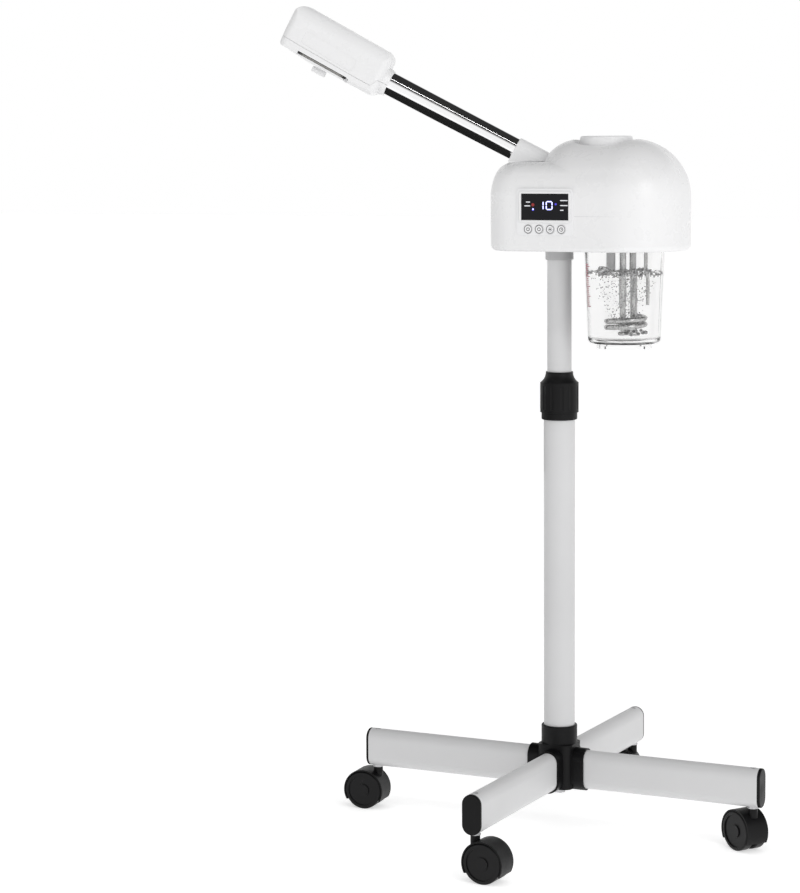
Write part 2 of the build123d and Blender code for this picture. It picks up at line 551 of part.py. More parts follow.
with BuildPart() as head_shell:
    add(outer_housing)
    add(cavity, mode=Mode.SUBTRACT)
    add(dish_backing)
    with BuildSketch(Plane.XZ):
        with BuildLine():
            Line((CAP_X, DISH_FLOOR_Z), (CAP_X + DISH_FLOOR_R, DISH_FLOOR_Z))
            ThreePointArc((CAP_X + DISH_FLOOR_R, DISH_FLOOR_Z),
                          (CAP_X + DISH_FLOOR_R + 4.6, DISH_FLOOR_Z + 3.0),
                          (CAP_X + DISH_RIM_R, DOME_TOP_Z + 1))
            Line((CAP_X + DISH_RIM_R, DOME_TOP_Z + 1), (CAP_X, DOME_TOP_Z + 1))
            Line((CAP_X, DOME_TOP_Z + 1), (CAP_X, DISH_FLOOR_Z))
        make_face()
    revolve(axis=Axis((CAP_X, 0, 0), (0, 0, 1)), mode=Mode.SUBTRACT)
    # boss in which the arm's spigot turns, and the hole through the shelf
    with BuildSketch(Plane.XY.offset(ELBOW_BOSS_Z)):
        with Locations((ARM_PIVOT_X, 0)):
            Circle(SPIGOT_R + 4)
    extrude(amount=SHELF_Z - 1 - ELBOW_BOSS_Z)
    with BuildSketch(Plane.XY.offset(ELBOW_BOSS_Z - 1)):
        with Locations((ARM_PIVOT_X, 0)):
            Circle(SPIGOT_R + RUN_GAP)
    extrude(amount=20, mode=Mode.SUBTRACT)
    with BuildSketch(Plane.XY.offset(DISH_FLOOR_Z - 5)):
        with Locations((CAP_X, 0)):
            Circle(NECK_OUTER)
    extrude(amount=10, mode=Mode.SUBTRACT)
    # screw bosses, each with a rib to the wall
    for spot_x, spot_y in SCREW_SPOTS:
        wall_sign = 1 if spot_y > 0 else -1
        with BuildSketch(Plane.XY.offset(LIP_TOP_Z)):
            with Locations((spot_x, spot_y)):
                Circle(4)
                Rectangle(2.4, 10, align=(Align.CENTER, Align.MIN if wall_sign > 0 else Align.MAX))
        extrude(amount=34)
        with BuildSketch(Plane.XY.offset(LIP_TOP_Z - 1)):
            with Locations((spot_x, spot_y)):
                Circle(1.6)
        extrude(amount=20, mode=Mode.SUBTRACT)
    # openings for the control panel and for the mains inlet
    with BuildSketch(panel_plane.offset(1)):
        with Locations((PANEL_X, PANEL_MID_Z)):
            Rectangle(PANEL_WIDTH - 2 * PANEL_SIDE_LIP, PANEL_HEIGHT - 2 * PANEL_END_LIP)
    extrude(amount=-6, mode=Mode.SUBTRACT)
    with BuildSketch(panel_plane):
        with Locations((PANEL_X, PANEL_MID_Z)):
            RectangleRounded(PANEL_WIDTH + 0.2, PANEL_HEIGHT + 0.2, 4.6)
    extrude(amount=1, mode=Mode.SUBTRACT)
    with BuildSketch(rear_plane.offset(1)):
        with Locations((-INLET_X, INLET_Z)):
            Rectangle(INLET_WIDTH, INLET_HEIGHT)
    extrude(amount=-6, mode=Mode.SUBTRACT)
head_shell.part.label = "head_shell"
export_step(head_shell.part, "parts/head_shell.step")

BOSS_R = 18.5
base_plate_blank = wall_prism(HEAD_BOTTOM_Z, LIP_TOP_Z - 0.1, LIP_INSET + 0.15)
with BuildPart() as head_base_plate:
    add(base_plate_blank)
    with BuildSketch(Plane.XY.offset(HEAD_BOTTOM_Z)):
        Circle(BOSS_R)
    extrude(amount=UPPER_TUBE_TOP_Z + 4 - HEAD_BOTTOM_Z)
    with BuildSketch(Plane.XY.offset(HEAD_BOTTOM_Z - 1)):
        Circle(SLEEVE_R + RUN_GAP)
    extrude(amount=UPPER_TUBE_TOP_Z + 0.3 - HEAD_BOTTOM_Z + 1, mode=Mode.SUBTRACT)
    with BuildSketch(Plane.XY.offset(HEAD_BOTTOM_Z - 1)):
        with Locations((CUP_X, 0)):
            Circle(CUP_TOP_R + 0.7)
    extrude(amount=8, mode=Mode.SUBTRACT)
    with BuildSketch(Plane.XY.offset(HEAD_BOTTOM_Z - 1)):
        with Locations(*SCREW_SPOTS):
            Circle(1.6)
    extrude(amount=8, mode=Mode.SUBTRACT)
    with BuildSketch(Plane.XY.offset(HEAD_BOTTOM_Z - 1)):
        with Locations(*SCREW_SPOTS):
            Circle(3.2)
    extrude(amount=2.4, mode=Mode.SUBTRACT)
head_base_plate.part.label = "head_base_plate"
export_step(head_base_plate.part, "parts/head_base_plate.step")

with BuildPart() as head_screws:
    with BuildSketch(Plane.XY.offset(HEAD_BOTTOM_Z - 0.2)):
        with Locations(*SCREW_SPOTS):
            Circle(2.9)
            Rectangle(3.6, 0.7, mode=Mode.SUBTRACT)
            Rectangle(0.7, 3.6, mode=Mode.SUBTRACT)
    extrude(amount=1.6)
    with BuildSketch(Plane.XY.offset(HEAD_BOTTOM_Z + 0.8)):
        with Locations(*SCREW_SPOTS):
            Circle(1.6)
    extrude(amount=16)
head_screws.part.label = "head_screws"
export_step(head_screws.part, "parts/head_screws.step")

# control panel -------------------------------------------------------------
with BuildPart() as display_bezel:
    with BuildSketch(panel_plane):
        with Locations((PANEL_X, PANEL_MID_Z)):
            RectangleRounded(PANEL_WIDTH, PANEL_HEIGHT, 4.5)
    extrude(amount=-HEAD_HALF_DEPTH - PANEL_FACE_Y)
    with BuildSketch(panel_plane):
        with Locations((PANEL_X, PANEL_MID_Z)):
            Rectangle(PANEL_WIDTH - 2 * PANEL_SIDE_LIP - 0.2, PANEL_HEIGHT - 2 * PANEL_END_LIP - 0.2)
    extrude(amount=-SHELL_WALL)
    with BuildSketch(panel_plane):
        with Locations((PANEL_X, DISPLAY_Z)):
            RectangleRounded(DISPLAY_WIDTH + 4, DISPLAY_HEIGHT + 4, 2.5)
    extrude(amount=-HEAD_HALF_DEPTH - PANEL_FACE_Y + 0.5)
    with BuildSketch(panel_plane.offset(-SHELL_WALL)):
        with Locations((PANEL_X, PANEL_MID_Z)):
            with GridLocations(52, PANEL_HEIGHT - 8.4, 2, 2):
                Circle(1.4)
    extrude(amount=-4.5)
    with BuildSketch(panel_plane.offset(3)):
        with Locations((PANEL_X, DISPLAY_Z)):
            Rectangle(DISPLAY_WIDTH, DISPLAY_HEIGHT)
    extrude(amount=-3 - SHELL_WALL - 0.1, mode=Mode.SUBTRACT)
    with BuildSketch(panel_plane.offset(3)):
        with Locations(*[(button_x, BUTTON_Z) for button_x in BUTTON_XS]):
            Circle(BUTTON_RADIUS + 0.3)
    extrude(amount=-3 - SHELL_WALL - 0.1, mode=Mode.SUBTRACT)
display_bezel.part.label = "display_bezel"
export_step(display_bezel.part, "parts/display_bezel.step")

with BuildPart() as display_window:
    with BuildSketch(panel_plane.offset(0.6)):
        with Locations((PANEL_X, DISPLAY_Z)):
            Rectangle(DISPLAY_WIDTH, DISPLAY_HEIGHT)
    extrude(amount=-1.6)
display_window.part.label = "display_window"
export_step(display_window.part, "parts/display_window.step")

BOARD_FACE = -SHELL_WALL - 4.5
with BuildPart() as control_board:
    with BuildSketch(panel_plane.offset(BOARD_FACE)):
        with Locations((PANEL_X, PANEL_MID_Z)):
            Rectangle(56, PANEL_HEIGHT - 4)
    extrude(amount=-1.6)
    with BuildSketch(panel_plane.offset(BOARD_FACE)):
        with Locations((PANEL_X, DISPLAY_Z)):
            Rectangle(DISPLAY_WIDTH - 4, DISPLAY_HEIGHT - 3)
    extrude(amount=5.2)
    with BuildSketch(panel_plane.offset(BOARD_FACE)):
        with Locations(*[(button_x, BUTTON_Z) for button_x in BUTTON_XS]):
            Rectangle(5, 5)
    extrude(amount=1.5)
    with BuildSketch(panel_plane.offset(BOARD_FACE - 1.6)):
        with Locations((PANEL_X - 12, PANEL_MID_Z)):
            Rectangle(12, 12)
        with Locations((PANEL_X + 12, PANEL_MID_Z + 6)):
            Rectangle(16, 7)
    extrude(amount=-3)
control_board.part.label = "control_board"
export_step(control_board.part, "parts/control_board.step")

for number, button_x in enumerate(BUTTON_XS, start=1):
    with BuildPart() as button:
        with BuildSketch(panel_plane.offset(-SHELL_WALL - 0.2)):
            with Locations((button_x, BUTTON_Z)):
                Circle(BUTTON_RADIUS)
        extrude(amount=SHELL_WALL + 0.2 + 1.4)
        chamfer(button.edges().group_by(Axis.Y)[0], 0.3)
        with BuildSketch(panel_plane.offset(-SHELL_WALL - 0.2)):
            with Locations((button_x, BUTTON_Z)):
                Circle(BUTTON_RADIUS + 0.9)
        extrude(amount=-1)
        with BuildSketch(panel_plane.offset(-SHELL_WALL - 1.2)):
            with Locations((button_x, BUTTON_Z)):
                Circle(1.5)
        extrude(amount=-0.9)
    button.part.label = f"button_{number}"
    export_step(button.part, f"parts/button_{number}.step")

# filler ---------------------------------------------------------------------
DROP_TUBE_X = 56.2
FUNNEL_THROAT_Z = 684.0
LID_TOP_Z = LID_Z + 4.0
with BuildPart() as filler_neck:
    with BuildSketch(Plane.XZ):
        with BuildLine():
            Polyline(
                (CAP_X + NECK_INNER, DISH_FLOOR_Z + 0.3), (CAP_X + NECK_OUTER, DISH_FLOOR_Z + 0.3),
                (CAP_X + NECK_OUTER, 697), (CAP_X + 11, FUNNEL_THROAT_Z), (CAP_X + 11, LID_TOP_Z),
                (CAP_X, LID_TOP_Z), (CAP_X, LID_TOP_Z + 2), (CAP_X + 9, LID_TOP_Z + 2),
                (CAP_X + 9, FUNNEL_THROAT_Z + 1), (CAP_X + NECK_INNER, 697.6),
                (CAP_X + NECK_INNER, DISH_FLOOR_Z + 0.3))
        make_face()
    revolve(axis=Axis((CAP_X, 0, 0), (0, 0, 1)))
    with BuildSketch(Plane.XY.offset(576)):
        with Locations((DROP_TUBE_X, 0)):
            Circle(4.6)
    extrude(amount=LID_TOP_Z + 1 - 576)
    with BuildSketch(Plane.XY.offset(575)):
        with Locations((DROP_TUBE_X, 0)):
            Circle(3.6)
    extrude(amount=LID_TOP_Z + 3 - 575, mode=Mode.SUBTRACT)
filler_neck.part.label = "filler_neck"
export_step(filler_neck.part, "parts/filler_neck.step")

with BuildPart() as filler_cap:
    with BuildSketch(Plane.XY.offset(CAP_FOOT_Z)):
        with Locations((CAP_X, 0)):
            Circle(CAP_RADIUS)
    extrude(amount=CAP_TOP_Z - CAP_FOOT_Z)
    fillet(filler_cap.edges().group_by(Axis.Z)[-1], 2.4)
    with BuildSketch(Plane.XY.offset(699)):
        with Locations((CAP_X, 0)):
            Circle(NECK_INNER - RUN_GAP)
    extrude(amount=CAP_FOOT_Z - 699)
    with BuildSketch(Plane.XY.offset(698)):
        with Locations((CAP_X, 0)):
            Circle(18)
    extrude(amount=16, mode=Mode.SUBTRACT)
filler_cap.part.label = "filler_cap"
export_step(filler_cap.part, "parts/filler_cap.step")

# boiler ---------------------------------------------------------------------
RISER_XY = (56.0, 25.0)
RISER_Z = 664.0
RISER_OUTER = 7.0
COIL_X = CUP_X + 1.5
COIL_R = 17.6
COIL_ROD_R = 2.7
COIL_PITCH = 6.2
COIL_Z = 522.7
SHEATH_X = CUP_X - 3.0
SHEATH_Y = 3.6
PROBE_SPOTS = [(CUP_X + 22, 5.0), (CUP_X + 17, 14.0)]
THERMOSTAT_XY = (CUP_X + 9.5, 6.0)

with BuildPart() as boiler_lid:
    with BuildSketch(Plane.XY.offset(LIP_TOP_Z)):
        with Locations((CUP_X, 0)):
            Circle(CUP_TOP_R + 4.6)
            Circle(CUP_TOP_R + 1.3, mode=Mode.SUBTRACT)
    extrude(amount=LID_Z - LIP_TOP_Z)
    with BuildSketch(Plane.XY.offset(LID_Z)):
        with Locations((CUP_X, 0)):
            Circle(CUP_TOP_R + 4.6)
    extrude(amount=LID_TOP_Z - LID_Z)
    with BuildSketch(Plane.XY.offset(LID_Z - 1)):
        with Locations((DROP_TUBE_X, 0)):
            Circle(4.6)
        with Locations(RISER_XY):
            Circle(RISER_OUTER)
        with Locations((SHEATH_X, SHEATH_Y)):
            Circle(3.4)
        with Locations((COIL_X, COIL_R)):
            Circle(COIL_ROD_R)
        with Locations(*PROBE_SPOTS):
            Circle(1.2)
        with Locations(THERMOSTAT_XY):
            Circle(1.0)
    extrude(amount=6, mode=Mode.SUBTRACT)
boiler_lid.part.label = "boiler_lid"
export_step(boiler_lid.part, "parts/boiler_lid.step")

with BuildPart() as cup_gasket:
    with BuildSketch(Plane.XY.offset(CUP_RIM_Z + 0.2)):
        with Locations((CUP_X, 0)):
            Circle(CUP_TOP_R + 1.2)
            Circle(CUP_TOP_R - 3, mode=Mode.SUBTRACT)
    extrude(amount=LID_Z - CUP_RIM_Z - 0.2)
cup_gasket.part.label = "cup_gasket"
export_step(cup_gasket.part, "parts/cup_gasket.step")

with BuildPart() as heater_turns_at_origin:
    with BuildLine(Plane.XY) as coil_line:
        Helix(COIL_PITCH, 2 * COIL_PITCH, COIL_R, center=(0, 0, 0))
    with BuildSketch(Plane(origin=coil_line.line @ 0, z_dir=coil_line.line % 0)):
        Circle(COIL_ROD_R)
    sweep(path=coil_line.line, is_frenet=True)
heater_turns = Pos(COIL_X, 0, COIL_Z) * Rot(0, 0, 90) * heater_turns_at_origin.part
TERMINAL_Z = 640.0
with BuildPart() as heater_coil:
    add(heater_turns)
    # lower end: inwards under the turns, then up the middle inside a sheath
    with BuildSketch(Plane(origin=(COIL_X, COIL_R, COIL_Z), z_dir=(SHEATH_X - COIL_X, SHEATH_Y - COIL_R, 0))):
        Circle(COIL_ROD_R)
    extrude(amount=sqrt((SHEATH_X - COIL_X) ** 2 + (SHEATH_Y - COIL_R) ** 2))
    with Locations((COIL_X, COIL_R, COIL_Z), (SHEATH_X, SHEATH_Y, COIL_Z)):
        Sphere(COIL_ROD_R)
    with BuildSketch(Plane.XY.offset(COIL_Z)):
        with Locations((SHEATH_X, SHEATH_Y)):
            Circle(COIL_ROD_R)
    extrude(amount=TERMINAL_Z - COIL_Z)
    with BuildSketch(Plane.XY.offset(COIL_Z + 22)):
        with Locations((SHEATH_X, SHEATH_Y)):
            Circle(3.4)
    extrude(amount=TERMINAL_Z - 6 - COIL_Z - 22)
    # upper end: straight up from the last turn
    upper_end_z = COIL_Z + 2 * COIL_PITCH
    with Locations((COIL_X, COIL_R, upper_end_z)):
        Sphere(COIL_ROD_R)
    with BuildSketch(Plane.XY.offset(upper_end_z)):
        with Locations((COIL_X, COIL_R)):
            Circle(COIL_ROD_R)
    extrude(amount=TERMINAL_Z - upper_end_z)
heater_coil.part.label = "heater_coil"
export_step(heater_coil.part, "parts/heater_coil.step")

with BuildPart() as water_probes:
    with BuildSketch(Plane.XY.offset(547)):
        with Locations(*PROBE_SPOTS):
            Circle(1.2)
    extrude(amount=TERMINAL_Z - 547)
    with BuildSketch(Plane.XY.offset(LID_TOP_Z)):
        with Locations(*PROBE_SPOTS):
            Circle(2.6)
    extrude(amount=5)
water_probes.part.label = "water_probes"
export_step(water_probes.part, "parts/water_probes.step")

# over-temperature bulb just under the coil, on its thin tube
BULB_Z = 517.8
with BuildPart() as thermostat_bulb:
    bulb_x, bulb_y = THERMOSTAT_XY
    with BuildSketch(Plane.XY.offset(BULB_Z)):
        with Locations(THERMOSTAT_XY):
            Circle(1.0)
    extrude(amount=TERMINAL_Z - BULB_Z)
    with BuildSketch(Plane(origin=(bulb_x - 16, bulb_y, BULB_Z), x_dir=(0, 1, 0), z_dir=(1, 0, 0))):
        Circle(1.9)
    extrude(amount=18)
    with Locations((bulb_x - 16, bulb_y, BULB_Z), (bulb_x + 2, bulb_y, BULB_Z)):
        Sphere(1.9)
thermostat_bulb.part.label = "thermostat_bulb"
export_step(thermostat_bulb.part, "parts/thermostat_bulb.step")

with BuildPart() as glass_cup:
    cup_inner_base_z = CUP_BASE_Z + 3.0
    with BuildSketch(Plane.XZ):
        with BuildLine():
            Polyline((CUP_X, CUP_BASE_Z), (CUP_X + CUP_FOOT_R - 3, CUP_BASE_Z),
                     (CUP_X + CUP_FOOT_R - 3, CUP_FOOT_Z), (CUP_X + CUP_FOOT_R, CUP_FOOT_Z),
                     (CUP_X + CUP_FOOT_R, CUP_BASE_Z), (CUP_X + CUP_BASE_R - 5, CUP_BASE_Z))
            ThreePointArc((CUP_X + CUP_BASE_R - 5, CUP_BASE_Z),
                          (CUP_X + CUP_BASE_R - 1.4, CUP_BASE_Z + 1.5),
                          (CUP_X + CUP_BASE_R, CUP_BASE_Z + 5))
            Polyline((CUP_X + CUP_BASE_R, CUP_BASE_Z + 5), (CUP_X + CUP_TOP_R, HEAD_BOTTOM_Z - 1),
                     (CUP_X + CUP_TOP_R, CUP_RIM_Z), (CUP_X + CUP_TOP_R - CUP_WALL, CUP_RIM_Z),
                     (CUP_X + CUP_TOP_R - CUP_WALL, HEAD_BOTTOM_Z - 1),
                     (CUP_X + CUP_BASE_R - CUP_WALL, cup_inner_base_z + 4))
            ThreePointArc((CUP_X + CUP_BASE_R - CUP_WALL, cup_inner_base_z + 4),
                          (CUP_X + CUP_BASE_R - CUP_WALL - 1.2, cup_inner_base_z + 1.2),
                          (CUP_X + CUP_BASE_R - CUP_WALL - 4, cup_inner_base_z))
            Polyline((CUP_X + CUP_BASE_R - CUP_WALL - 4, cup_inner_base_z),
                     (CUP_X, cup_inner_base_z), (CUP_X, CUP_BASE_Z))
        make_face()
    revolve(axis=Axis((CUP_X, 0, 0), (0, 0, 1)))
    # drain slots through the foot ring
    with BuildSketch(Plane.XY.offset(CUP_FOOT_Z - 1)):
        with Locations((CUP_X, 0)):
            with Locations(Rotation(0, 0, -22)):
                Rectangle(1.6, 3 * CUP_FOOT_R)
                Rectangle(3 * CUP_FOOT_R, 1.6)
    extrude(amount=4, mode=Mode.SUBTRACT)
glass_cup.part.label = "glass_cup"
export_step(glass_cup.part, "parts/glass_cup.step")

# pipe that takes the steam from the lid to the foot of the arm
RISER_TOP_Z = 684.0
with BuildPart() as steam_riser:
    with BuildLine() as riser_line:
        FilletPolyline((*RISER_XY, LID_Z), (*RISER_XY, RISER_Z), (ARM_PIVOT_X, 0, RISER_Z),
                       (ARM_PIVOT_X, 0, RISER_TOP_Z), radius=11)
    with BuildSketch(Plane(origin=(*RISER_XY, LID_Z), z_dir=(0, 0, 1))):
        Circle(RISER_OUTER)
        Circle(RISER_OUTER - 1.2, mode=Mode.SUBTRACT)
    sweep(path=riser_line.line)
steam_riser.part.label = "steam_riser"
export_step(steam_riser.part, "parts/steam_riser.step")

# mains inlet in the rear wall, without a cord
with BuildPart() as mains_inlet:
    with BuildSketch(rear_plane):
        with Locations((-INLET_X, INLET_Z)):
            RectangleRounded(INLET_WIDTH + 5, INLET_HEIGHT + 5, 2.5)
    extrude(amount=2)
    with BuildSketch(rear_plane):
        with Locations((-INLET_X, INLET_Z)):
            Rectangle(INLET_WIDTH - 0.2, INLET_HEIGHT - 0.2)
    extrude(amount=-16)
    with BuildSketch(rear_plane.offset(2)):
        with Locations((-INLET_X, INLET_Z)):
            RectangleRounded(INLET_WIDTH - 3.6, INLET_HEIGHT - 4.4, 2)
    extrude(amount=-16, mode=Mode.SUBTRACT)
    with BuildSketch(rear_plane.offset(-14)):
        with Locations((-INLET_X - 7, INLET_Z - 2), (-INLET_X + 7, INLET_Z - 2), (-INLET_X, INLET_Z + 2)):
            Rectangle(2, 4)
    extrude(amount=12)
mains_inlet.part.label = "mains_inlet"
export_step(mains_inlet.part, "parts/mains_inlet.step")

# ----------------------------------------------------------------- steam arm
SPIGOT_BOTTOM_Z = 673.0
ELBOW_DISC_Z = SHELF_Z + 0.3
ELBOW_DISC_R = 14.0
CLIP_Z = 674.4
SKIRT_BACK = -3.0
SKIRT_FRONT = ARM_SLEEVE_END * cos(ARM_RISE) + ARM_SLEEVE_R * sin(ARM_RISE)
SLEEVE_LIP_Z = ARM_AXIS_Z + ARM_SLEEVE_END * sin(ARM_RISE) - ARM_SLEEVE_R * cos(ARM_RISE)
# upright plane through the arm: local x is the level distance from the pivot, local y is z
arm_upright = Plane(
    origin=(ARM_PIVOT_X, 0, 0), x_dir=(cos(ARM_AZIMUTH), sin(ARM_AZIMUTH), 0),
    z_dir=(sin(ARM_AZIMUTH), -cos(ARM_AZIMUTH), 0))
with BuildPart() as arm_elbow:
    with BuildSketch(arm_frame.offset(ARM_SLEEVE_START)):
        Circle(ARM_SLEEVE_R)
    extrude(amount=ARM_SLEEVE_END - ARM_SLEEVE_START)
    chamfer(arm_elbow.edges().sort_by(Axis(arm_frame.origin, arm_frame.z_dir))[-1], 0.8)
    fillet(arm_elbow.edges().sort_by(Axis(arm_frame.origin, arm_frame.z_dir))[0], 4)
    # upright skirt between the sleeve's sides and the shelf
    with BuildSketch(arm_upright):
        with BuildLine():
            Polyline((SKIRT_BACK, ELBOW_DISC_Z), (SKIRT_FRONT, ELBOW_DISC_Z), (SKIRT_FRONT, SLEEVE_LIP_Z),
                     (ARM_SLEEVE_END * cos(ARM_RISE), ARM_AXIS_Z + ARM_SLEEVE_END * sin(ARM_RISE)),
                     (SKIRT_BACK, ARM_AXIS_Z + SKIRT_BACK * tan(ARM_RISE)), close=True)
        make_face()
    extrude(amount=ARM_SLEEVE_R, both=True)
    split(bisect_by=Plane.XY.offset(ELBOW_DISC_Z), keep=Keep.TOP)
    with BuildSketch(Plane.XY.offset(ELBOW_DISC_Z)):
        with Locations((ARM_PIVOT_X, 0)):
            Circle(ELBOW_DISC_R)
    extrude(amount=2.2)
    with BuildSketch(Plane.XY.offset(SPIGOT_BOTTOM_Z)):
        with Locations((ARM_PIVOT_X, 0)):
            Circle(SPIGOT_R)
    extrude(amount=ELBOW_DISC_Z - SPIGOT_BOTTOM_Z)
    with BuildSketch(Plane.XY.offset(SPIGOT_BOTTOM_Z - 1)):
        with Locations((ARM_PIVOT_X, 0)):
            Circle(RISER_OUTER + 0.6)
    extrude(amount=ELBOW_DISC_Z - SPIGOT_BOTTOM_Z + 5, mode=Mode.SUBTRACT)
    with BuildSketch(arm_frame.offset(ARM_TUBE_START)):
        Circle(ARM_TUBE_R_LOW)
    extrude(amount=40, mode=Mode.SUBTRACT)
arm_elbow.part.label = "arm_elbow"
export_step(arm_elbow.part, "parts/arm_elbow.step")

with BuildPart() as elbow_clip:
    with BuildSketch(Plane.XY.offset(CLIP_Z)):
        with Locations((ARM_PIVOT_X, 0)):
            Circle(SPIGOT_R + 3.5)
            Circle(SPIGOT_R, mode=Mode.SUBTRACT)
    extrude(amount=ELBOW_BOSS_Z - 0.3 - CLIP_Z)
elbow_clip.part.label = "elbow_clip"
export_step(elbow_clip.part, "parts/elbow_clip.step")

ARM_TUBE_END = NECK_AT + 13.0
BEAD_START = ARM_TUBE_END - 2.5
with BuildPart() as arm_tube:
    with BuildSketch(arm_side):
        with BuildLine():
            Polyline(
                (ARM_TUBE_START, ARM_TUBE_R_LOW - ARM_TUBE_WALL), (ARM_TUBE_START, ARM_TUBE_R_LOW),
                (ARM_SLEEVE_END, ARM_TUBE_R_LOW), (NECK_AT - 3, ARM_TUBE_R_HIGH),
                (BEAD_START, ARM_TUBE_R_HIGH), (BEAD_START, ARM_TUBE_R_HIGH + 1.6),
                (ARM_TUBE_END, ARM_TUBE_R_HIGH + 1.6), (ARM_TUBE_END, ARM_TUBE_R_HIGH - ARM_TUBE_WALL),
                (NECK_AT - 3, ARM_TUBE_R_HIGH - ARM_TUBE_WALL),
                (ARM_SLEEVE_END, ARM_TUBE_R_LOW - ARM_TUBE_WALL),
                (ARM_TUBE_START, ARM_TUBE_R_LOW - ARM_TUBE_WALL))
        make_face()
    revolve(axis=Axis(arm_frame.origin, arm_frame.z_dir))
    # the inner end is cut level, clear of the shelf
    split(bisect_by=Plane.XY.offset(ELBOW_DISC_Z + 2.2), keep=Keep.TOP)
arm_tube.part.label = "arm_tube"
export_step(arm_tube.part, "parts/arm_tube.step")

# ------------------------------------------------------------------- nozzle
# side outline of the nozzle, in the arm's side view
NOZZLE_REAR = 173.5
NOZZLE_TOP_REAR = 28.4
NOZZLE_TOP_NOSE = 31.8
NOZZLE_BOTTOM = -19.0
NOZZLE_REAR_ROUND = 11.0
OUTLET_LIP = -15.0
NECK_R = 13.4
NECK_ROOT_R = 15.4
NOZZLE_CAVITY_FROM = NOZZLE_REAR + 3.0
PLAN_CORNER = 8.5

with BuildSketch(Plane.XY) as nozzle_outline:
    with BuildLine():
        Polyline((NOZZLE_REAR, -13.5), (179, NOZZLE_BOTTOM), (252, NOZZLE_BOTTOM + 0.6),
                 (270, OUTLET_LIP - 0.6), (NOSE_AT - 5.5, OUTLET_LIP))
        ThreePointArc((NOSE_AT - 5.5, OUTLET_LIP), (NOSE_AT - 2.6, OUTLET_LIP + 1.3),
                      (NOSE_AT - 1.4, OUTLET_LIP + 4))
        Polyline((NOSE_AT - 1.4, OUTLET_LIP + 4), (NOSE_AT, 8), (NOSE_AT, 18))
        ThreePointArc((NOSE_AT, 18), (NOSE_AT - 3.4, 27.8), (NOSE_AT - 11, NOZZLE_TOP_NOSE))
        Line((NOSE_AT - 11, NOZZLE_TOP_NOSE), (NOZZLE_REAR + NOZZLE_REAR_ROUND, NOZZLE_TOP_REAR))
        ThreePointArc((NOZZLE_REAR + NOZZLE_REAR_ROUND, NOZZLE_TOP_REAR),
                      (NOZZLE_REAR + 3.1, NOZZLE_TOP_REAR - 3.6),
                      (NOZZLE_REAR, NOZZLE_TOP_REAR - NOZZLE_REAR_ROUND - 1))
        Line((NOZZLE_REAR, NOZZLE_TOP_REAR - NOZZLE_REAR_ROUND - 1), (NOZZLE_REAR, -13.5))
    make_face()

TOP_CORNER = 16.0
BOTTOM_CORNER = 6.0
ARC_SAG = 1 - sqrt(0.5)         # how far a quarter round falls short of its corner, over its radius
SECTION_HEADROOM = 0.5          # the section stands above the side outline, so the two never just touch
with BuildSketch(Plane.XY) as nozzle_section:
    with BuildLine():
        top = NOZZLE_TOP_NOSE + SECTION_HEADROOM
        low = NOZZLE_BOTTOM
        half = NOZZLE_HALF_WIDTH
        Line((-half + BOTTOM_CORNER, low), (half - BOTTOM_CORNER, low))
        ThreePointArc((half - BOTTOM_CORNER, low),
                      (half - BOTTOM_CORNER * ARC_SAG, low + BOTTOM_CORNER * ARC_SAG),
                      (half, low + BOTTOM_CORNER))
        Line((half, low + BOTTOM_CORNER), (half, top - TOP_CORNER))
        ThreePointArc((half, top - TOP_CORNER),
                      (half - TOP_CORNER * ARC_SAG, top - TOP_CORNER * ARC_SAG),
                      (half - TOP_CORNER, top))
        Line((half - TOP_CORNER, top), (-half + TOP_CORNER, top))
        ThreePointArc((-half + TOP_CORNER, top),
                      (-half + TOP_CORNER * ARC_SAG, top - TOP_CORNER * ARC_SAG),
                      (-half, top - TOP_CORNER))
        Line((-half, top - TOP_CORNER), (-half, low + BOTTOM_CORNER))
        ThreePointArc((-half, low + BOTTOM_CORNER),
                      (-half + BOTTOM_CORNER * ARC_SAG, low + BOTTOM_CORNER * ARC_SAG),
                      (-half + BOTTOM_CORNER, low))
    make_face()

# the nozzle from above: length along local x
arm_plan = Plane(origin=arm_frame.origin, x_dir=arm_frame.z_dir, z_dir=arm_side.y_dir)
with BuildSketch(Plane.XY) as nozzle_plan:
    with Locations(((NOZZLE_REAR + NOSE_AT) / 2, 0)):
        RectangleRounded(NOSE_AT - NOZZLE_REAR, 2 * NOZZLE_HALF_WIDTH, PLAN_CORNER)


def nozzle_block(inset, rear):
    """Solid nozzle body this far inside its outer surface, starting at rear."""
    outline = nozzle_outline.face()
    section = nozzle_section.face()
    plan = nozzle_plan.face()
    if inset > 0:
        outline = offset(outline, -inset, kind=Kind.INTERSECTION).face()
        section = offset(section, -inset, kind=Kind.INTERSECTION).face()
        plan = offset(plan, -inset, kind=Kind.INTERSECTION).face()
    across = extrude(arm_side.location * outline, NOZZLE_HALF_WIDTH + 2, both=True)
    along = extrude(arm_frame.offset(rear).location * section, NOSE_AT + 10 - rear)
    upwards = extrude(arm_plan.location * plan, 45, both=True)
    return across & along & upwards


def below_line(points, depth=40.0):
    """Block under a line drawn in the arm's side view, right across the nozzle."""
    low_points = [(points[-1][0], -depth), (points[0][0], -depth)]
    with BuildSketch(Plane.XY) as region:
        with BuildLine():
            Polyline(*points, *low_points, close=True)
        make_face()
    return extrude(arm_side.location * region.face(), NOZZLE_HALF_WIDTH + 10, both=True)


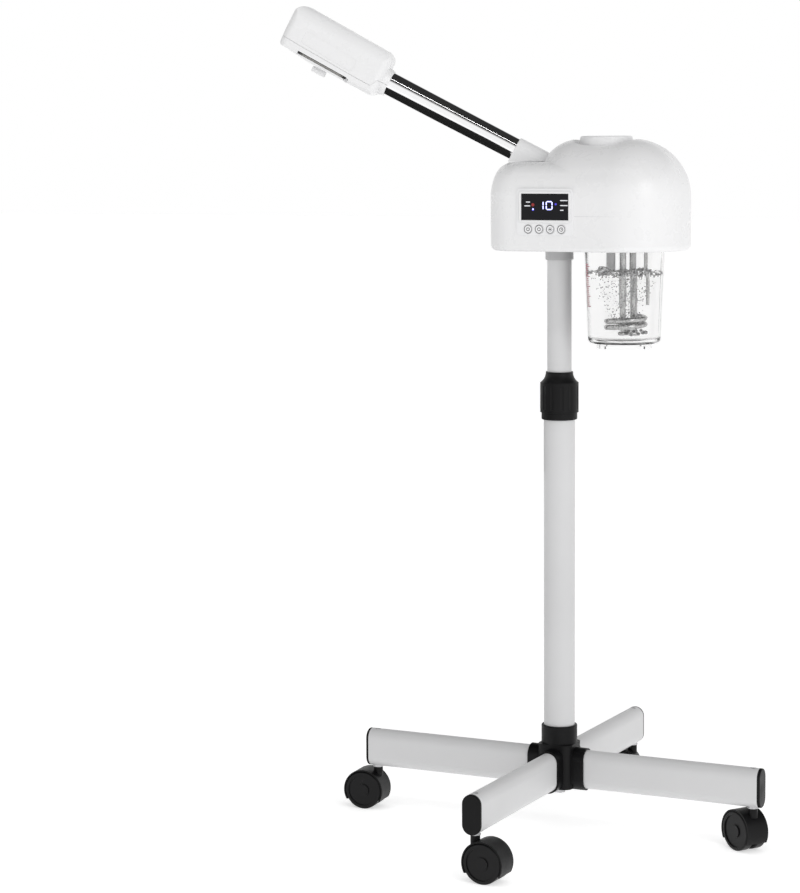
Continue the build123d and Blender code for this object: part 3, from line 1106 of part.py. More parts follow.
NOZZLE_SEAM = [(NECK_AT - 10, -1.8), (177.8, -1.8), (181.8, -9.7), (207, -9.2), (265.5, -6.7),
               (NOSE_AT + 5, -5.2)]
SEAM_GAP = 0.25
with BuildPart() as neck_cone:
    with BuildSketch(arm_side):
        with BuildLine():
            Polyline((NECK_AT, 0), (NECK_AT, NECK_R), (NOZZLE_REAR + 1, NECK_ROOT_R),
                     (NOZZLE_CAVITY_FROM, NECK_ROOT_R), (NOZZLE_CAVITY_FROM, 0), close=True)
        make_face()
    revolve(axis=Axis(arm_frame.origin, arm_frame.z_dir))
neck_bore = Solid.make_cylinder(ARM_TUBE_R_HIGH + RUN_GAP, 20, arm_frame.offset(NECK_AT - 4))
nozzle_solid = nozzle_block(0.0, NOZZLE_REAR - 5) + neck_cone.part
nozzle_cavity = nozzle_block(NOZZLE_WALL, NOZZLE_CAVITY_FROM)
nozzle_hollow = nozzle_solid - nozzle_cavity - neck_bore

lower_seam = [(along, up - SEAM_GAP) for along, up in NOZZLE_SEAM]
lower_blank = nozzle_hollow & below_line(lower_seam)
upper_blank = nozzle_hollow - below_line(NOZZLE_SEAM)

# opening under the nozzle, closed by the hinged door
DOOR_REAR = 204.8
DOOR_FRONT = 264.0
SLOT_TOP = [(DOOR_REAR, -13.8), (DOOR_FRONT, -12.2)]
DOOR_TOP = [(210.0, -16.4), (DOOR_FRONT - 0.7, -14.9)]
HINGE_ALONG = 207.6
HINGE_UP = -17.2
BARREL_R = 1.7
PIN_R = 0.8
LUG_FROM = 12.4
LUG_TO = 16.0
LUG_ROOT = 199.0
LEAF_END = 213.0
OUTLET_AT = 271.4
OUTLET_OUTER = 5.4
OUTLET_INNER = 4.2
OUTLET_LOW = -16.6
OUTLET_HIGH = -8.6
SCREW_ALONG = 190.0
SCREW_ACROSS = 12.5
SCREW_HEAD_LOW = NOZZLE_BOTTOM + 0.2
SCREW_HEAD_HIGH = SCREW_HEAD_LOW + 1.4
BOSS_MEET = -10.0
HANDLE_FROM = 231.0
HANDLE_LENGTH = 15.0
HANDLE_UP = -22.6
HANDLE_R = 3.0


def across_cylinder(along, up, radius, start, length):
    """Cylinder across the nozzle, from start to start + length in the arm's local x."""
    foot = arm_side.from_local_coords(Vector(along, up, 0)) + arm_frame.x_dir * start
    return Solid.make_cylinder(radius, length, Plane(origin=foot, z_dir=arm_frame.x_dir))


def upright_cylinder(along, across, radius, low, high):
    """Cylinder along the nozzle's own up direction."""
    foot = arm_side.from_local_coords(Vector(along, low, 0)) + arm_frame.x_dir * across
    return Solid.make_cylinder(radius, high - low, Plane(origin=foot, z_dir=arm_side.y_dir))


def along_cylinder(along, up, radius, length):
    """Cylinder along the arm's own direction, in the middle of its width."""
    foot = arm_side.from_local_coords(Vector(along, up, 0))
    return Solid.make_cylinder(radius, length, Plane(origin=foot, z_dir=arm_frame.z_dir))


def nozzle_bar(start, end, along_from, along_to, up_from, up_to):
    """Block from start to end across the nozzle."""
    corner = arm_side.from_local_coords(Vector(along_to, up_from, 0)) + arm_frame.x_dir * start
    corner_plane = Plane(origin=corner, x_dir=arm_frame.x_dir, z_dir=arm_side.y_dir)
    # local y of this plane runs back towards the pivot
    return Solid.make_box(end - start, along_to - along_from, up_to - up_from, corner_plane)


slot_blank = below_line(SLOT_TOP)
door_plate = nozzle_block(0.3, NOZZLE_REAR) & below_line(DOOR_TOP)
with BuildPart() as nozzle_lower_shell:
    add(lower_blank)
    add(slot_blank, mode=Mode.SUBTRACT)
    for sign in (1, -1):
        start, end = sorted((sign * LUG_FROM, sign * LUG_TO))
        add(nozzle_bar(start, end, LUG_ROOT, HINGE_ALONG, HINGE_UP - BARREL_R, HINGE_UP + BARREL_R))
        add(across_cylinder(HINGE_ALONG, HINGE_UP, BARREL_R, start, end - start))
        add(upright_cylinder(SCREW_ALONG, sign * SCREW_ACROSS, 4, SCREW_HEAD_HIGH - 1.2, BOSS_MEET))
    add(across_cylinder(HINGE_ALONG, HINGE_UP, PIN_R, -20, 40), mode=Mode.SUBTRACT)
    add(upright_cylinder(OUTLET_AT, 0, OUTLET_OUTER, -30, OUTLET_HIGH + 1), mode=Mode.SUBTRACT)
    for sign in (1, -1):
        add(upright_cylinder(SCREW_ALONG, sign * SCREW_ACROSS, 1.5, -30, 0), mode=Mode.SUBTRACT)
        add(upright_cylinder(SCREW_ALONG, sign * SCREW_ACROSS, 3.0, -30, SCREW_HEAD_HIGH), mode=Mode.SUBTRACT)
nozzle_lower_shell.part.label = "nozzle_lower_shell"
export_step(nozzle_lower_shell.part, "parts/nozzle_lower_shell.step")

# shallow grip panel in each side of the upper shell
with BuildSketch(Plane.XY) as grip_outline:
    with Locations(Location((235.5, 1.6, 0), (0, 0, 3.5))):
        RectangleRounded(60, 13.6, 3)
GRIP_DEPTH = 0.5
boss_blank = nozzle_block(NOZZLE_WALL - 0.5, NOZZLE_CAVITY_FROM - 1)
with BuildPart() as nozzle_upper_shell:
    add(upper_blank)
    for sign in (1, -1):
        add(upright_cylinder(SCREW_ALONG, sign * SCREW_ACROSS, 4, BOSS_MEET + 0.6, 40) & boss_blank)
        add(upright_cylinder(SCREW_ALONG, sign * SCREW_ACROSS, 1.5, -20, 7), mode=Mode.SUBTRACT)
    for side_plane in (arm_side, Plane(origin=arm_side.origin, x_dir=arm_side.x_dir, z_dir=-arm_side.z_dir)):
        with BuildSketch(side_plane.offset(NOZZLE_HALF_WIDTH - GRIP_DEPTH)):
            if side_plane is arm_side:
                add(grip_outline.sketch)
            else:
                add(mirror(grip_outline.sketch, about=Plane.XZ))
        extrude(amount=5, mode=Mode.SUBTRACT)
nozzle_upper_shell.part.label = "nozzle_upper_shell"
export_step(nozzle_upper_shell.part, "parts/nozzle_upper_shell.step")

with BuildPart() as nozzle_screws:
    for sign in (1, -1):
        add(upright_cylinder(SCREW_ALONG, sign * SCREW_ACROSS, 1.5, SCREW_HEAD_HIGH, 6))
        add(upright_cylinder(SCREW_ALONG, sign * SCREW_ACROSS, 2.8, SCREW_HEAD_LOW, SCREW_HEAD_HIGH))
nozzle_screws.part.label = "nozzle_screws"
export_step(nozzle_screws.part, "parts/nozzle_screws.step")

with BuildPart() as steam_outlet:
    add(upright_cylinder(OUTLET_AT, 0, OUTLET_OUTER, OUTLET_LOW, OUTLET_HIGH))
    add(upright_cylinder(OUTLET_AT, 0, OUTLET_OUTER + 1.6, OUTLET_HIGH - 2, OUTLET_HIGH))
    add(upright_cylinder(OUTLET_AT, 0, OUTLET_INNER, -30, 0), mode=Mode.SUBTRACT)
steam_outlet.part.label = "steam_outlet"
export_step(steam_outlet.part, "parts/steam_outlet.step")

leaf_half = LUG_FROM - FREE_GAP
with BuildPart() as aroma_door:
    add(door_plate)
    add(across_cylinder(HINGE_ALONG, HINGE_UP, BARREL_R, -leaf_half, 2 * leaf_half))
    add(nozzle_bar(-leaf_half, leaf_half, HINGE_ALONG, LEAF_END, HINGE_UP - 1.4, HINGE_UP + 0.6))
    add(across_cylinder(HINGE_ALONG, HINGE_UP, PIN_R + RUN_GAP, -20, 40), mode=Mode.SUBTRACT)
    # little tubular pull on a short stem, open at its rear end
    add(nozzle_bar(-1.6, 1.6, HANDLE_FROM + 2, HANDLE_FROM + HANDLE_LENGTH - 2, HANDLE_UP, -17.6))
    add(along_cylinder(HANDLE_FROM, HANDLE_UP, HANDLE_R, HANDLE_LENGTH))
    add(along_cylinder(HANDLE_FROM, HANDLE_UP, HANDLE_R - 0.9, HANDLE_LENGTH - 2.5), mode=Mode.SUBTRACT)
aroma_door.part.label = "aroma_door"
export_step(aroma_door.part, "parts/aroma_door.step")

with BuildPart() as door_pin:
    add(across_cylinder(HINGE_ALONG, HINGE_UP, PIN_R, -LUG_TO, 2 * LUG_TO))
door_pin.part.label = "door_pin"
export_step(door_pin.part, "parts/door_pin.step")
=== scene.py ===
"""Looks of the facial steamer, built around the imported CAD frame."""

import json
import math
import random

import bmesh
import bpy
from mathutils import Euler, Matrix, Vector, noise


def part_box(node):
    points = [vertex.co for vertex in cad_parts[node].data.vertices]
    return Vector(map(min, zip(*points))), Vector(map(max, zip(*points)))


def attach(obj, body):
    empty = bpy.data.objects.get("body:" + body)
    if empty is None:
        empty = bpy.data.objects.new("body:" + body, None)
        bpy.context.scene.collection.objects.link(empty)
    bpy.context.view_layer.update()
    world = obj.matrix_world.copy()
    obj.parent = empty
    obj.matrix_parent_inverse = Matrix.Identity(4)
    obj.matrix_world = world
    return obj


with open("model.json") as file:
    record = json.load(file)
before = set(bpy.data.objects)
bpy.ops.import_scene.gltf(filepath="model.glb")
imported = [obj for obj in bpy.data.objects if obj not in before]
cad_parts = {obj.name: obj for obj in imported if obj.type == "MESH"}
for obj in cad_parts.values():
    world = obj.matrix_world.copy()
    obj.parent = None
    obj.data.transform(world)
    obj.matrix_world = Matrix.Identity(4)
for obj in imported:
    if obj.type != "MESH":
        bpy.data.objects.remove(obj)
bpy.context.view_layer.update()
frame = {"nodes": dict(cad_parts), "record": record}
nodes = frame["nodes"]
record = frame["record"]
MM = 0.001


# ------------------------------------------------------------------ helpers
def centre_of(node):
    low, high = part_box(node)
    return (low + high) / 2


def new_material(name):
    """A node material with only its shader and output."""
    material = bpy.data.materials.new(name)
    material.use_nodes = True
    shader = material.node_tree.nodes["Principled BSDF"]
    return material, shader


def add_node(material, kind, **settings):
    node = material.node_tree.nodes.new(kind)
    for key, value in settings.items():
        setattr(node, key, value)
    return node


def link(material, source, output, target, socket):
    material.node_tree.links.new(source.outputs[output], target.inputs[socket])


def object_coords(material, scale=(1, 1, 1), rotation=(0, 0, 0)):
    """Object coordinates in metres, scaled and turned."""
    coords = add_node(material, "ShaderNodeTexCoord")
    mapping = add_node(material, "ShaderNodeMapping")
    mapping.inputs["Scale"].default_value = scale
    mapping.inputs["Rotation"].default_value = rotation
    link(material, coords, "Object", mapping, "Vector")
    return mapping


def noise_node(material, coords, scale, detail=3.0, roughness=0.5):
    texture = add_node(material, "ShaderNodeTexNoise")
    texture.inputs["Scale"].default_value = scale
    texture.inputs["Detail"].default_value = detail
    texture.inputs["Roughness"].default_value = roughness
    link(material, coords, "Vector", texture, "Vector")
    return texture


def ramp_node(material, source, output, stops):
    """Colour ramp over (position, (r, g, b)) stops."""
    ramp = add_node(material, "ShaderNodeValToRGB")
    elements = ramp.color_ramp.elements
    elements[0].position, elements[0].color = stops[0][0], (*stops[0][1], 1)
    elements[1].position, elements[1].color = stops[-1][0], (*stops[-1][1], 1)
    for position, colour in stops[1:-1]:
        elements.new(position).color = (*colour, 1)
    link(material, source, output, ramp, "Fac")
    return ramp


def range_node(material, source, output, low, high, from_low=0.3, from_high=0.7):
    remap = add_node(material, "ShaderNodeMapRange")
    remap.inputs["From Min"].default_value = from_low
    remap.inputs["From Max"].default_value = from_high
    remap.inputs["To Min"].default_value = low
    remap.inputs["To Max"].default_value = high
    link(material, source, output, remap, "Value")
    return remap


def bump_node(material, source, output, distance, strength=1.0):
    bump = add_node(material, "ShaderNodeBump")
    bump.inputs["Distance"].default_value = distance
    bump.inputs["Strength"].default_value = strength
    link(material, source, output, bump, "Height")
    return bump


def moulded_plastic(name, dark, light, rough, grain, grain_scale, coat=0.0, cloud_scale=9.0, shine=0.5):
    """Plastic with cloudy colour, uneven gloss and a fine moulded grain."""
    material, shader = new_material(name)
    coords = object_coords(material)
    cloud = noise_node(material, coords, cloud_scale, 4)
    tint = ramp_node(material, cloud, "Fac", [(0.3, dark), (0.7, light)])
    link(material, tint, "Color", shader, "Base Color")
    smudge = noise_node(material, coords, cloud_scale * 6, 5, 0.6)
    gloss = range_node(material, smudge, "Fac", rough[0], rough[1])
    link(material, gloss, "Result", shader, "Roughness")
    fine = noise_node(material, coords, grain_scale, 2)
    bump = bump_node(material, fine, "Fac", grain)
    link(material, bump, "Normal", shader, "Normal")
    shader.inputs["Specular IOR Level"].default_value = shine
    shader.inputs["Coat Weight"].default_value = coat
    shader.inputs["Coat Roughness"].default_value = 0.06
    return material


def metal(name, dark, light, rough, streak, bump_depth, streak_scale=(1, 1, 1)):
    """Metal with streaks along the direction whose scale is small."""
    material, shader = new_material(name)
    coords = object_coords(material, streak_scale)
    lines = noise_node(material, coords, streak, 4, 0.6)
    tint = ramp_node(material, lines, "Fac", [(0.3, dark), (0.7, light)])
    link(material, tint, "Color", shader, "Base Color")
    gloss = range_node(material, lines, "Fac", rough[0], rough[1])
    link(material, gloss, "Result", shader, "Roughness")
    bump = bump_node(material, lines, "Fac", bump_depth)
    link(material, bump, "Normal", shader, "Normal")
    shader.inputs["Metallic"].default_value = 1.0
    return material


def clear_material(name, colour, ior, rough, ripple_scale, ripple, grazing_shade=None):
    """Glass, clear plastic or water with a faint ripple, and, where a grazing shade is given, painted shade
    that darkens the colour towards grazing angles.
    """
    material, shader = new_material(name)
    coords = object_coords(material)
    wave = noise_node(material, coords, ripple_scale, 3)
    tint = ramp_node(material, wave, "Fac", [(0.3, colour), (0.7, tuple(min(1, c * 1.02) for c in colour))])
    link(material, tint, "Color", shader, "Base Color")
    # painted shade: the colour darkens towards grazing angles, standing in for the dark edges that
    # reflections give glass
    if grazing_shade is not None:
        rim = add_node(material, "ShaderNodeLayerWeight")
        rim.inputs["Blend"].default_value = 0.35
        shade = ramp_node(material, rim, "Facing", [(0.55, (1, 1, 1)), (0.95, (grazing_shade,) * 3)])
        blend = add_node(material, "ShaderNodeMix", data_type="RGBA", blend_type="MULTIPLY")
        blend.inputs["Factor"].default_value = 1.0
        link(material, tint, "Color", blend, "A")
        link(material, shade, "Color", blend, "B")
        link(material, blend, "Result", shader, "Base Color")
    gloss = range_node(material, wave, "Fac", rough, rough + 0.02)
    link(material, gloss, "Result", shader, "Roughness")
    bump = bump_node(material, wave, "Fac", ripple)
    link(material, bump, "Normal", shader, "Normal")
    shader.inputs["Transmission Weight"].default_value = 1.0
    shader.inputs["IOR"].default_value = ior
    return material


# ---------------------------------------------------------------- materials
HOUSING = moulded_plastic("housing_white", (0.79, 0.79, 0.795), (0.82, 0.82, 0.825),
                          (0.24, 0.33), 0.00002, 900, shine=0.45)
PANEL = moulded_plastic("panel_white", (0.80, 0.80, 0.81), (0.84, 0.84, 0.85),
                        (0.32, 0.42), 0.00003, 1400)
POWDER_COAT = moulded_plastic("white_powder_coat", (0.60, 0.60, 0.605), (0.65, 0.65, 0.655),
                              (0.34, 0.44), 0.00006, 1100, cloud_scale=6, shine=0.35)
BLACK = moulded_plastic("black_plastic", (0.003, 0.003, 0.0033), (0.006, 0.006, 0.0064),
                        (0.34, 0.5), 0.00008, 1500, shine=0.16)
WHEEL_BLACK = moulded_plastic("wheel_black", (0.0025, 0.0025, 0.0028), (0.006, 0.006, 0.0064),
                              (0.26, 0.42), 0.00006, 1200, shine=0.2)
GREY = moulded_plastic("grey_plastic", (0.40, 0.40, 0.405), (0.47, 0.47, 0.475),
                       (0.38, 0.5), 0.00006, 1300)
SEAL = moulded_plastic("seal_rubber", (0.6, 0.59, 0.56), (0.68, 0.67, 0.64),
                       (0.5, 0.65), 0.00005, 1200)
BOARD = moulded_plastic("board_green", (0.01, 0.07, 0.03), (0.015, 0.10, 0.04),
                        (0.3, 0.5), 0.00008, 700, cloud_scale=120)
SCREEN = moulded_plastic("screen_black", (0.006, 0.006, 0.008), (0.010, 0.010, 0.012),
                         (0.06, 0.12), 0.000004, 500, shine=0.14)
STEEL = metal("brushed_steel", (0.42, 0.42, 0.43), (0.62, 0.62, 0.63), (0.24, 0.38),
              90, 0.00003, (6, 6, 1))
HEATER = metal("heater_steel", (0.30, 0.30, 0.30), (0.66, 0.66, 0.655), (0.18, 0.34),
               260, 0.00003, (1, 1, 0.2))
CHROME = metal("chrome_tube", (0.88, 0.88, 0.885), (0.94, 0.94, 0.945), (0.03, 0.06),
               40, 0.0000002)
# the cup's glass has painted shade at its grazing edges
GLASS = clear_material("cup_glass", (0.955, 0.955, 0.955), 1.45, 0.0, 60, 0.00002, grazing_shade=0.42)
WATER = clear_material("boiling_water", (0.975, 0.975, 0.975), 1.09, 0.0, 110, 0.0003)

SLOT_MATERIALS = {
    "white_powder_coat": POWDER_COAT, "black_plastic": BLACK, "wheel_plastic": WHEEL_BLACK,
    "steel": STEEL, "grey_plastic": GREY, "housing_white": HOUSING, "cap_clear": HOUSING,
    "bezel_white": PANEL, "display_black": SCREEN, "board_green": BOARD,
    "seal_rubber": SEAL, "heater_steel": HEATER, "pipe_silicone": SEAL,
    "chrome_tube": CHROME, "outlet_plastic": PANEL, "inlet_black": BLACK,
    "cup_glass": GLASS,
}
for subpart in record["subparts"]:
    carried = nodes[subpart["node"]]
    carried.data.materials.clear()
    carried.data.materials.append(SLOT_MATERIALS[subpart["material_slot"]])

# ------------------------------------------------------------------- camera
EYE = Vector((1.035, -2.473, 0.713))
PAN = math.radians(26.26)
TILT_DOWN = math.radians(4.97)
ROLL = math.radians(-0.3)
SENSOR_WIDTH = 36
LENS = 105.8
SHIFT = (0.0031, -0.0867)
FAR_CLIP = 60
camera_data = bpy.data.cameras.new("camera")
camera = bpy.data.objects.new("camera", camera_data)
bpy.context.scene.collection.objects.link(camera)
camera.location = EYE
look = Euler((math.pi / 2 - TILT_DOWN, 0, PAN)).to_matrix()
camera.rotation_euler = (look @ Matrix.Rotation(ROLL, 3, "Z")).to_euler()
camera_data.sensor_width = SENSOR_WIDTH
camera_data.lens = LENS
camera_data.shift_x, camera_data.shift_y = SHIFT
camera_data.clip_end = FAR_CLIP
bpy.context.scene.camera = camera


# ------------------------------------------------------- floor and lighting
def link_object(name, mesh):
    made = bpy.data.objects.new(name, mesh)
    bpy.context.scene.collection.objects.link(made)
    return made


def card(name, width, depth, place=(0, 0, 0)):
    """Level rectangle about its place."""
    mesh = bpy.data.meshes.new(name)
    half_w, half_d = width / 2, depth / 2
    corners = [(-half_w, -half_d, 0), (half_w, -half_d, 0), (half_w, half_d, 0), (-half_w, half_d, 0)]
    mesh.from_pydata(corners, [], [(0, 1, 2, 3)])
    made = link_object(name, mesh)
    made.location = place
    return made


FLOOR_SPAN = 40
FLOOR_DARK = (0.90, 0.90, 0.90)
FLOOR_LIGHT = (0.92, 0.92, 0.92)
FLOOR_GLOW = 0.58
floor = card("floor", FLOOR_SPAN, FLOOR_SPAN)
floor_material, floor_shader = new_material("pale_floor")
floor_coords = object_coords(floor_material)
floor_cloud = noise_node(floor_material, floor_coords, 1.5, 3)
floor_tint = ramp_node(floor_material, floor_cloud, "Fac", [(0.3, FLOOR_DARK), (0.7, FLOOR_LIGHT)])
link(floor_material, floor_tint, "Color", floor_shader, "Base Color")
link(floor_material, floor_tint, "Color", floor_shader, "Emission Color")
floor_shader.inputs["Emission Strength"].default_value = FLOOR_GLOW
floor_shader.inputs["Roughness"].default_value = 0.7
floor_shader.inputs["Specular IOR Level"].default_value = 0.1
floor.data.materials.append(floor_material)

# a dark card under the arm, which only mirrors see, as beside a studio table
DARK_CARD_WIDTH = 0.5
DARK_CARD_DEPTH = 1.2
DARK_CARD_PLACE = (-0.33, -0.16, 0.36)
flag = card("dark_card", DARK_CARD_WIDTH, DARK_CARD_DEPTH, DARK_CARD_PLACE)
flag_material, flag_shader = new_material("dark_card")
flag_shader.inputs["Base Color"].default_value = (0.01, 0.01, 0.01, 1)
flag_shader.inputs["Roughness"].default_value = 1.0
flag.data.materials.append(flag_material)
flag.visible_camera = False
flag.visible_diffuse = False
flag.visible_shadow = False
flag.visible_transmission = False

# the room: white to the eye, brighter to the front right for matt surfaces,
# and for mirrors a bright band round the horizon under a dark ceiling
BRIGHT_SIDE = Vector((0.78, -0.58, 0.22)).normalized()
SIDE_BRIGHTNESS = (0.26, 0.98)
CEILING_FROM = 0.38
CEILING_TO = 0.62
CEILING_GREY = 0.03
world = bpy.data.worlds.new("studio")
world.use_nodes = True
bpy.context.scene.world = world
view_room = world.node_tree.nodes["Background"]
view_room.inputs["Color"].default_value = (1, 1, 1, 1)
directions = add_node(world, "ShaderNodeTexCoord")
towards_bright = add_node(world, "ShaderNodeVectorMath", operation="DOT_PRODUCT")
towards_bright.inputs[1].default_value = BRIGHT_SIDE
link(world, directions, "Generated", towards_bright, 0)
matt_room = add_node(world, "ShaderNodeBackground")
side_light = range_node(world, towards_bright, "Value", *SIDE_BRIGHTNESS, -1, 1)
link(world, side_light, "Result", matt_room, "Strength")
axes = add_node(world, "ShaderNodeSeparateXYZ")
link(world, directions, "Generated", axes, "Vector")
ceiling = ramp_node(world, axes, "Z", [(CEILING_FROM, (1, 1, 1)), (CEILING_TO, (CEILING_GREY,) * 3)])
mirror_room = add_node(world, "ShaderNodeBackground")
link(world, ceiling, "Color", mirror_room, "Color")
rays = add_node(world, "ShaderNodeLightPath")
off_surfaces = add_node(world, "ShaderNodeMixShader")
link(world, rays, "Is Glossy Ray", off_surfaces, "Fac")
link(world, matt_room, "Background", off_surfaces, 1)
link(world, mirror_room, "Background", off_surfaces, 2)
whole_room = add_node(world, "ShaderNodeMixShader")
link(world, rays, "Is Camera Ray", whole_room, "Fac")
link(world, off_surfaces, "Shader", whole_room, 1)
link(world, view_room, "Background", whole_room, 2)
link(world, whole_room, "Shader", world.node_tree.nodes["World Output"], "Surface")

# the lamps: a tall key at the front right, and a thin strip overhead
KEY_POWER = 16
KEY_PLACE = (2.4, -1.5, 1.5)
KEY_TARGET = (0, 0, 0.55)
KEY_WIDTH, KEY_HEIGHT = 1.2, 1.6
STRIP_POWER = 9
STRIP_PLACE = (-0.1, -1.5, 3.0)
STRIP_TARGET = (-0.1, 0, 0.75)
STRIP_LENGTH, STRIP_WIDTH = 5.0, 0.08


def area_light(name, place, target, width, height, power):
    """Rectangular lamp that faces its target."""
    data = bpy.data.lights.new(name, "AREA")
    data.energy = power
    data.shape = "RECTANGLE"
    data.size = width
    data.size_y = height
    lamp = link_object(name, data)
    lamp.location = place
    lamp.rotation_euler = (Vector(target) - Vector(place)).to_track_quat("-Z", "Y").to_euler()


area_light("key", KEY_PLACE, KEY_TARGET, KEY_WIDTH, KEY_HEIGHT, KEY_POWER)
area_light("strip", STRIP_PLACE, STRIP_TARGET, STRIP_LENGTH, STRIP_WIDTH, STRIP_POWER)
bpy.context.scene.view_settings.view_transform = "Standard"


# ----------------------------------------------------------- piece helpers
def piece(name, mesh, material, body):
    """Links a finished mesh, gives it its finish, and lets it ride on its body."""
    made = link_object(name, mesh)
    made.data.materials.append(material)
    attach(made, body)
    return made


def mesh_from(name, bm, smooth=False):
    mesh = bpy.data.meshes.new(name)
    bmesh.ops.recalc_face_normals(bm, faces=bm.faces)
    bm.to_mesh(mesh)
    bm.free()
    if smooth:
        mesh.polygons.foreach_set("use_smooth", [True] * len(mesh.polygons))
    return mesh


def skin(bm, loops, closed=False, capped=False):
    """Joins each loop of vertices to the next, then to the first if closed, or caps both ends."""
    count = len(loops[0])
    for one, two in zip(loops, loops[1:] + loops[:1] if closed else loops[1:]):
        for j in range(count):
            after = (j + 1) % count
            bm.faces.new((one[j], one[after], two[after], two[j]))
    if capped:
        bm.faces.new(loops[0])
        bm.faces.new(list(reversed(loops[-1])))


def slab(bm, outline, place, thick):
    """Adds a flat plate: outline is (across, up) in metres from place, facing -Y."""
    skin(bm, [[bm.verts.new((place[0] + u, place[1] + side, place[2] + v)) for u, v in outline]
              for side in (-thick, thick)], capped=True)


def bar(bm, place, width, height, thick, turn=0.0):
    """Adds a small plate with cut corners, turned in its own plane."""
    nip = min(width, height) * 0.22
    half_w, half_h = width / 2, height / 2
    corners = [(-half_w + nip, -half_h), (half_w - nip, -half_h), (half_w, -half_h + nip),
               (half_w, half_h - nip), (half_w - nip, half_h), (-half_w + nip, half_h),
               (-half_w, half_h - nip), (-half_w, -half_h + nip)]
    cosine, sine = math.cos(turn), math.sin(turn)
    outline = [(u * cosine - v * sine, u * sine + v * cosine) for u, v in corners]
    slab(bm, outline, place, thick)


def ring(bm, place, outer, inner, thick, start=0.0, end=2 * math.pi, steps=48):
    """Adds a flat ring, or part of one, facing -Y."""
    whole = end - start > 2 * math.pi - 1e-6
    count = steps if whole else steps + 1
    rings = []
    for k in range(count):
        angle = start + (end - start) * k / steps
        loop = []
        for radius, side in ((outer, -thick), (inner, -thick), (inner, thick), (outer, thick)):
            loop.append(bm.verts.new((place[0] + radius * math.cos(angle), place[1] + side,
                                      place[2] + radius * math.sin(angle))))
        rings.append(loop)
    skin(bm, rings, closed=whole, capped=not whole)


def disc(bm, place, radius, thick, steps=24):
    """Adds a flat disc facing -Y."""
    outline = [(radius * math.cos(2 * math.pi * k / steps), radius * math.sin(2 * math.pi * k / steps))
               for k in range(steps)]
    slab(bm, outline, place, thick)


def glowing(name, colour, strength):
    """Lit surface with a slightly uneven glow."""
    material, shader = new_material(name)
    coords = object_coords(material)
    cloud = noise_node(material, coords, 400, 2)
    tint = ramp_node(material, cloud, "Fac", [(0.3, tuple(c * 0.9 for c in colour)), (0.7, colour)])
    link(material, tint, "Color", shader, "Base Color")
    link(material, tint, "Color", shader, "Emission Color")
    shader.inputs["Emission Strength"].default_value = strength
    shader.inputs["Roughness"].default_value = 0.4
    return material


# ------------------------------------------------------------------ display
DIGIT_WHITE = glowing("digit_glow", (0.62, 0.66, 1.0), 1.6)
DIGIT_BLUE = glowing("blue_glow", (0.05, 0.04, 0.50), 0.7)
LED_RED = glowing("red_lamp", (0.22, 0.012, 0.012), 0.35)
LABEL_WHITE = glowing("label_white", (0.75, 0.76, 0.80), 0.25)
window_low, window_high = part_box("display_window")
window_y = window_low.y
INK = 0.05 * MM                 # half the thickness of a printed mark
DIGIT_WIDTH, DIGIT_HEIGHT = 6.2, 7.8
ONE_ACROSS, ZERO_ACROSS, DIGITS_DOWN = 20.6, 30.2, 11.8
HALO_STROKE, DIGIT_STROKE = 1.7, 0.95
LABEL_HEIGHT = 0.95


def on_window(across, down):
    """Place on the display, in millimetres from its top left corner."""
    return (window_low.x + across * MM, window_y, window_high.z - down * MM)


def segments(bm, across, lit, stroke, thick):
    """Adds the lit segments of a digit whose middle is that far across the display."""
    half_w, half_h = DIGIT_WIDTH / 2, DIGIT_HEIGHT / 2
    run = half_h - stroke * 0.55
    places = {"top": (0, half_h, 0), "bottom": (0, -half_h, 0), "middle": (0, 0, 0),
              "left_high": (-half_w, half_h / 2, 1), "left_low": (-half_w, -half_h / 2, 1),
              "right_high": (half_w, half_h / 2, 1), "right_low": (half_w, -half_h / 2, 1)}
    for key in lit:
        u, v, upright = places[key]
        size = (stroke, run) if upright else (DIGIT_WIDTH - stroke * 1.1, stroke)
        middle = on_window(across + u, DIGITS_DOWN - v)
        bar(bm, middle, size[0] * MM, size[1] * MM, thick)


ONE = ("right_high", "right_low")
ZERO = ("top", "bottom", "left_high", "left_low", "right_high", "right_low")
for label, stroke, thick, material in (("digit_halo", HALO_STROKE, INK, DIGIT_BLUE),
                                       ("digits", DIGIT_STROKE, 2 * INK, DIGIT_WHITE)):
    bm = bmesh.new()
    segments(bm, ONE_ACROSS, ONE, stroke, thick)
    segments(bm, ZERO_ACROSS, ZERO, stroke, thick)
    piece(label, mesh_from(label, bm), material, "head")

# lamps as (across, down, radius), and labels as (across, down, width), in millimetres
for label, lamps, thick, material in (
        ("blue_lamps", ((37.2, 10.4, 1.1), (12.8, 15.8, 1.3)), INK, DIGIT_BLUE),
        ("white_lamp", ((12.8, 15.5, 0.75),), 2 * INK, DIGIT_WHITE),
        ("red_lamp", ((12.6, 11.1, 1.6),), INK, LED_RED)):
    bm = bmesh.new()
    for across, down, radius in lamps:
        disc(bm, on_window(across, down), radius * MM, thick)
    piece(label, mesh_from(label, bm), material, "head")
bm = bmesh.new()
for across, down, width in ((7.4, 8.4, 4.4), (6.5, 12.2, 6.2), (46.0, 6.8, 8.0), (46.0, 11.7, 8.0),
                            (43.8, 16.4, 3.6)):
    bar(bm, on_window(across, down), width * MM, LABEL_HEIGHT * MM, INK)
piece("display_labels", mesh_from("display_labels", bm), LABEL_WHITE, "head")

# ------------------------------------------------------------ display frame
FRAME_REACH = 2.5 * MM
FRAME_PROUD = 0.6 * MM
FRAME_CORNER = 2.6 * MM


def rounded_loop(half_w, half_h, corner, steps=7):
    """Points round a rounded rectangle, corner by corner."""
    points = []
    for quarter, (across, up) in enumerate(((1, 1), (-1, 1), (-1, -1), (1, -1))):
        for k in range(steps + 1):
            angle = math.pi / 2 * (quarter + k / steps)
            points.append((across * (half_w - corner) + corner * math.cos(angle),
                           up * (half_h - corner) + corner * math.sin(angle)))
    return points


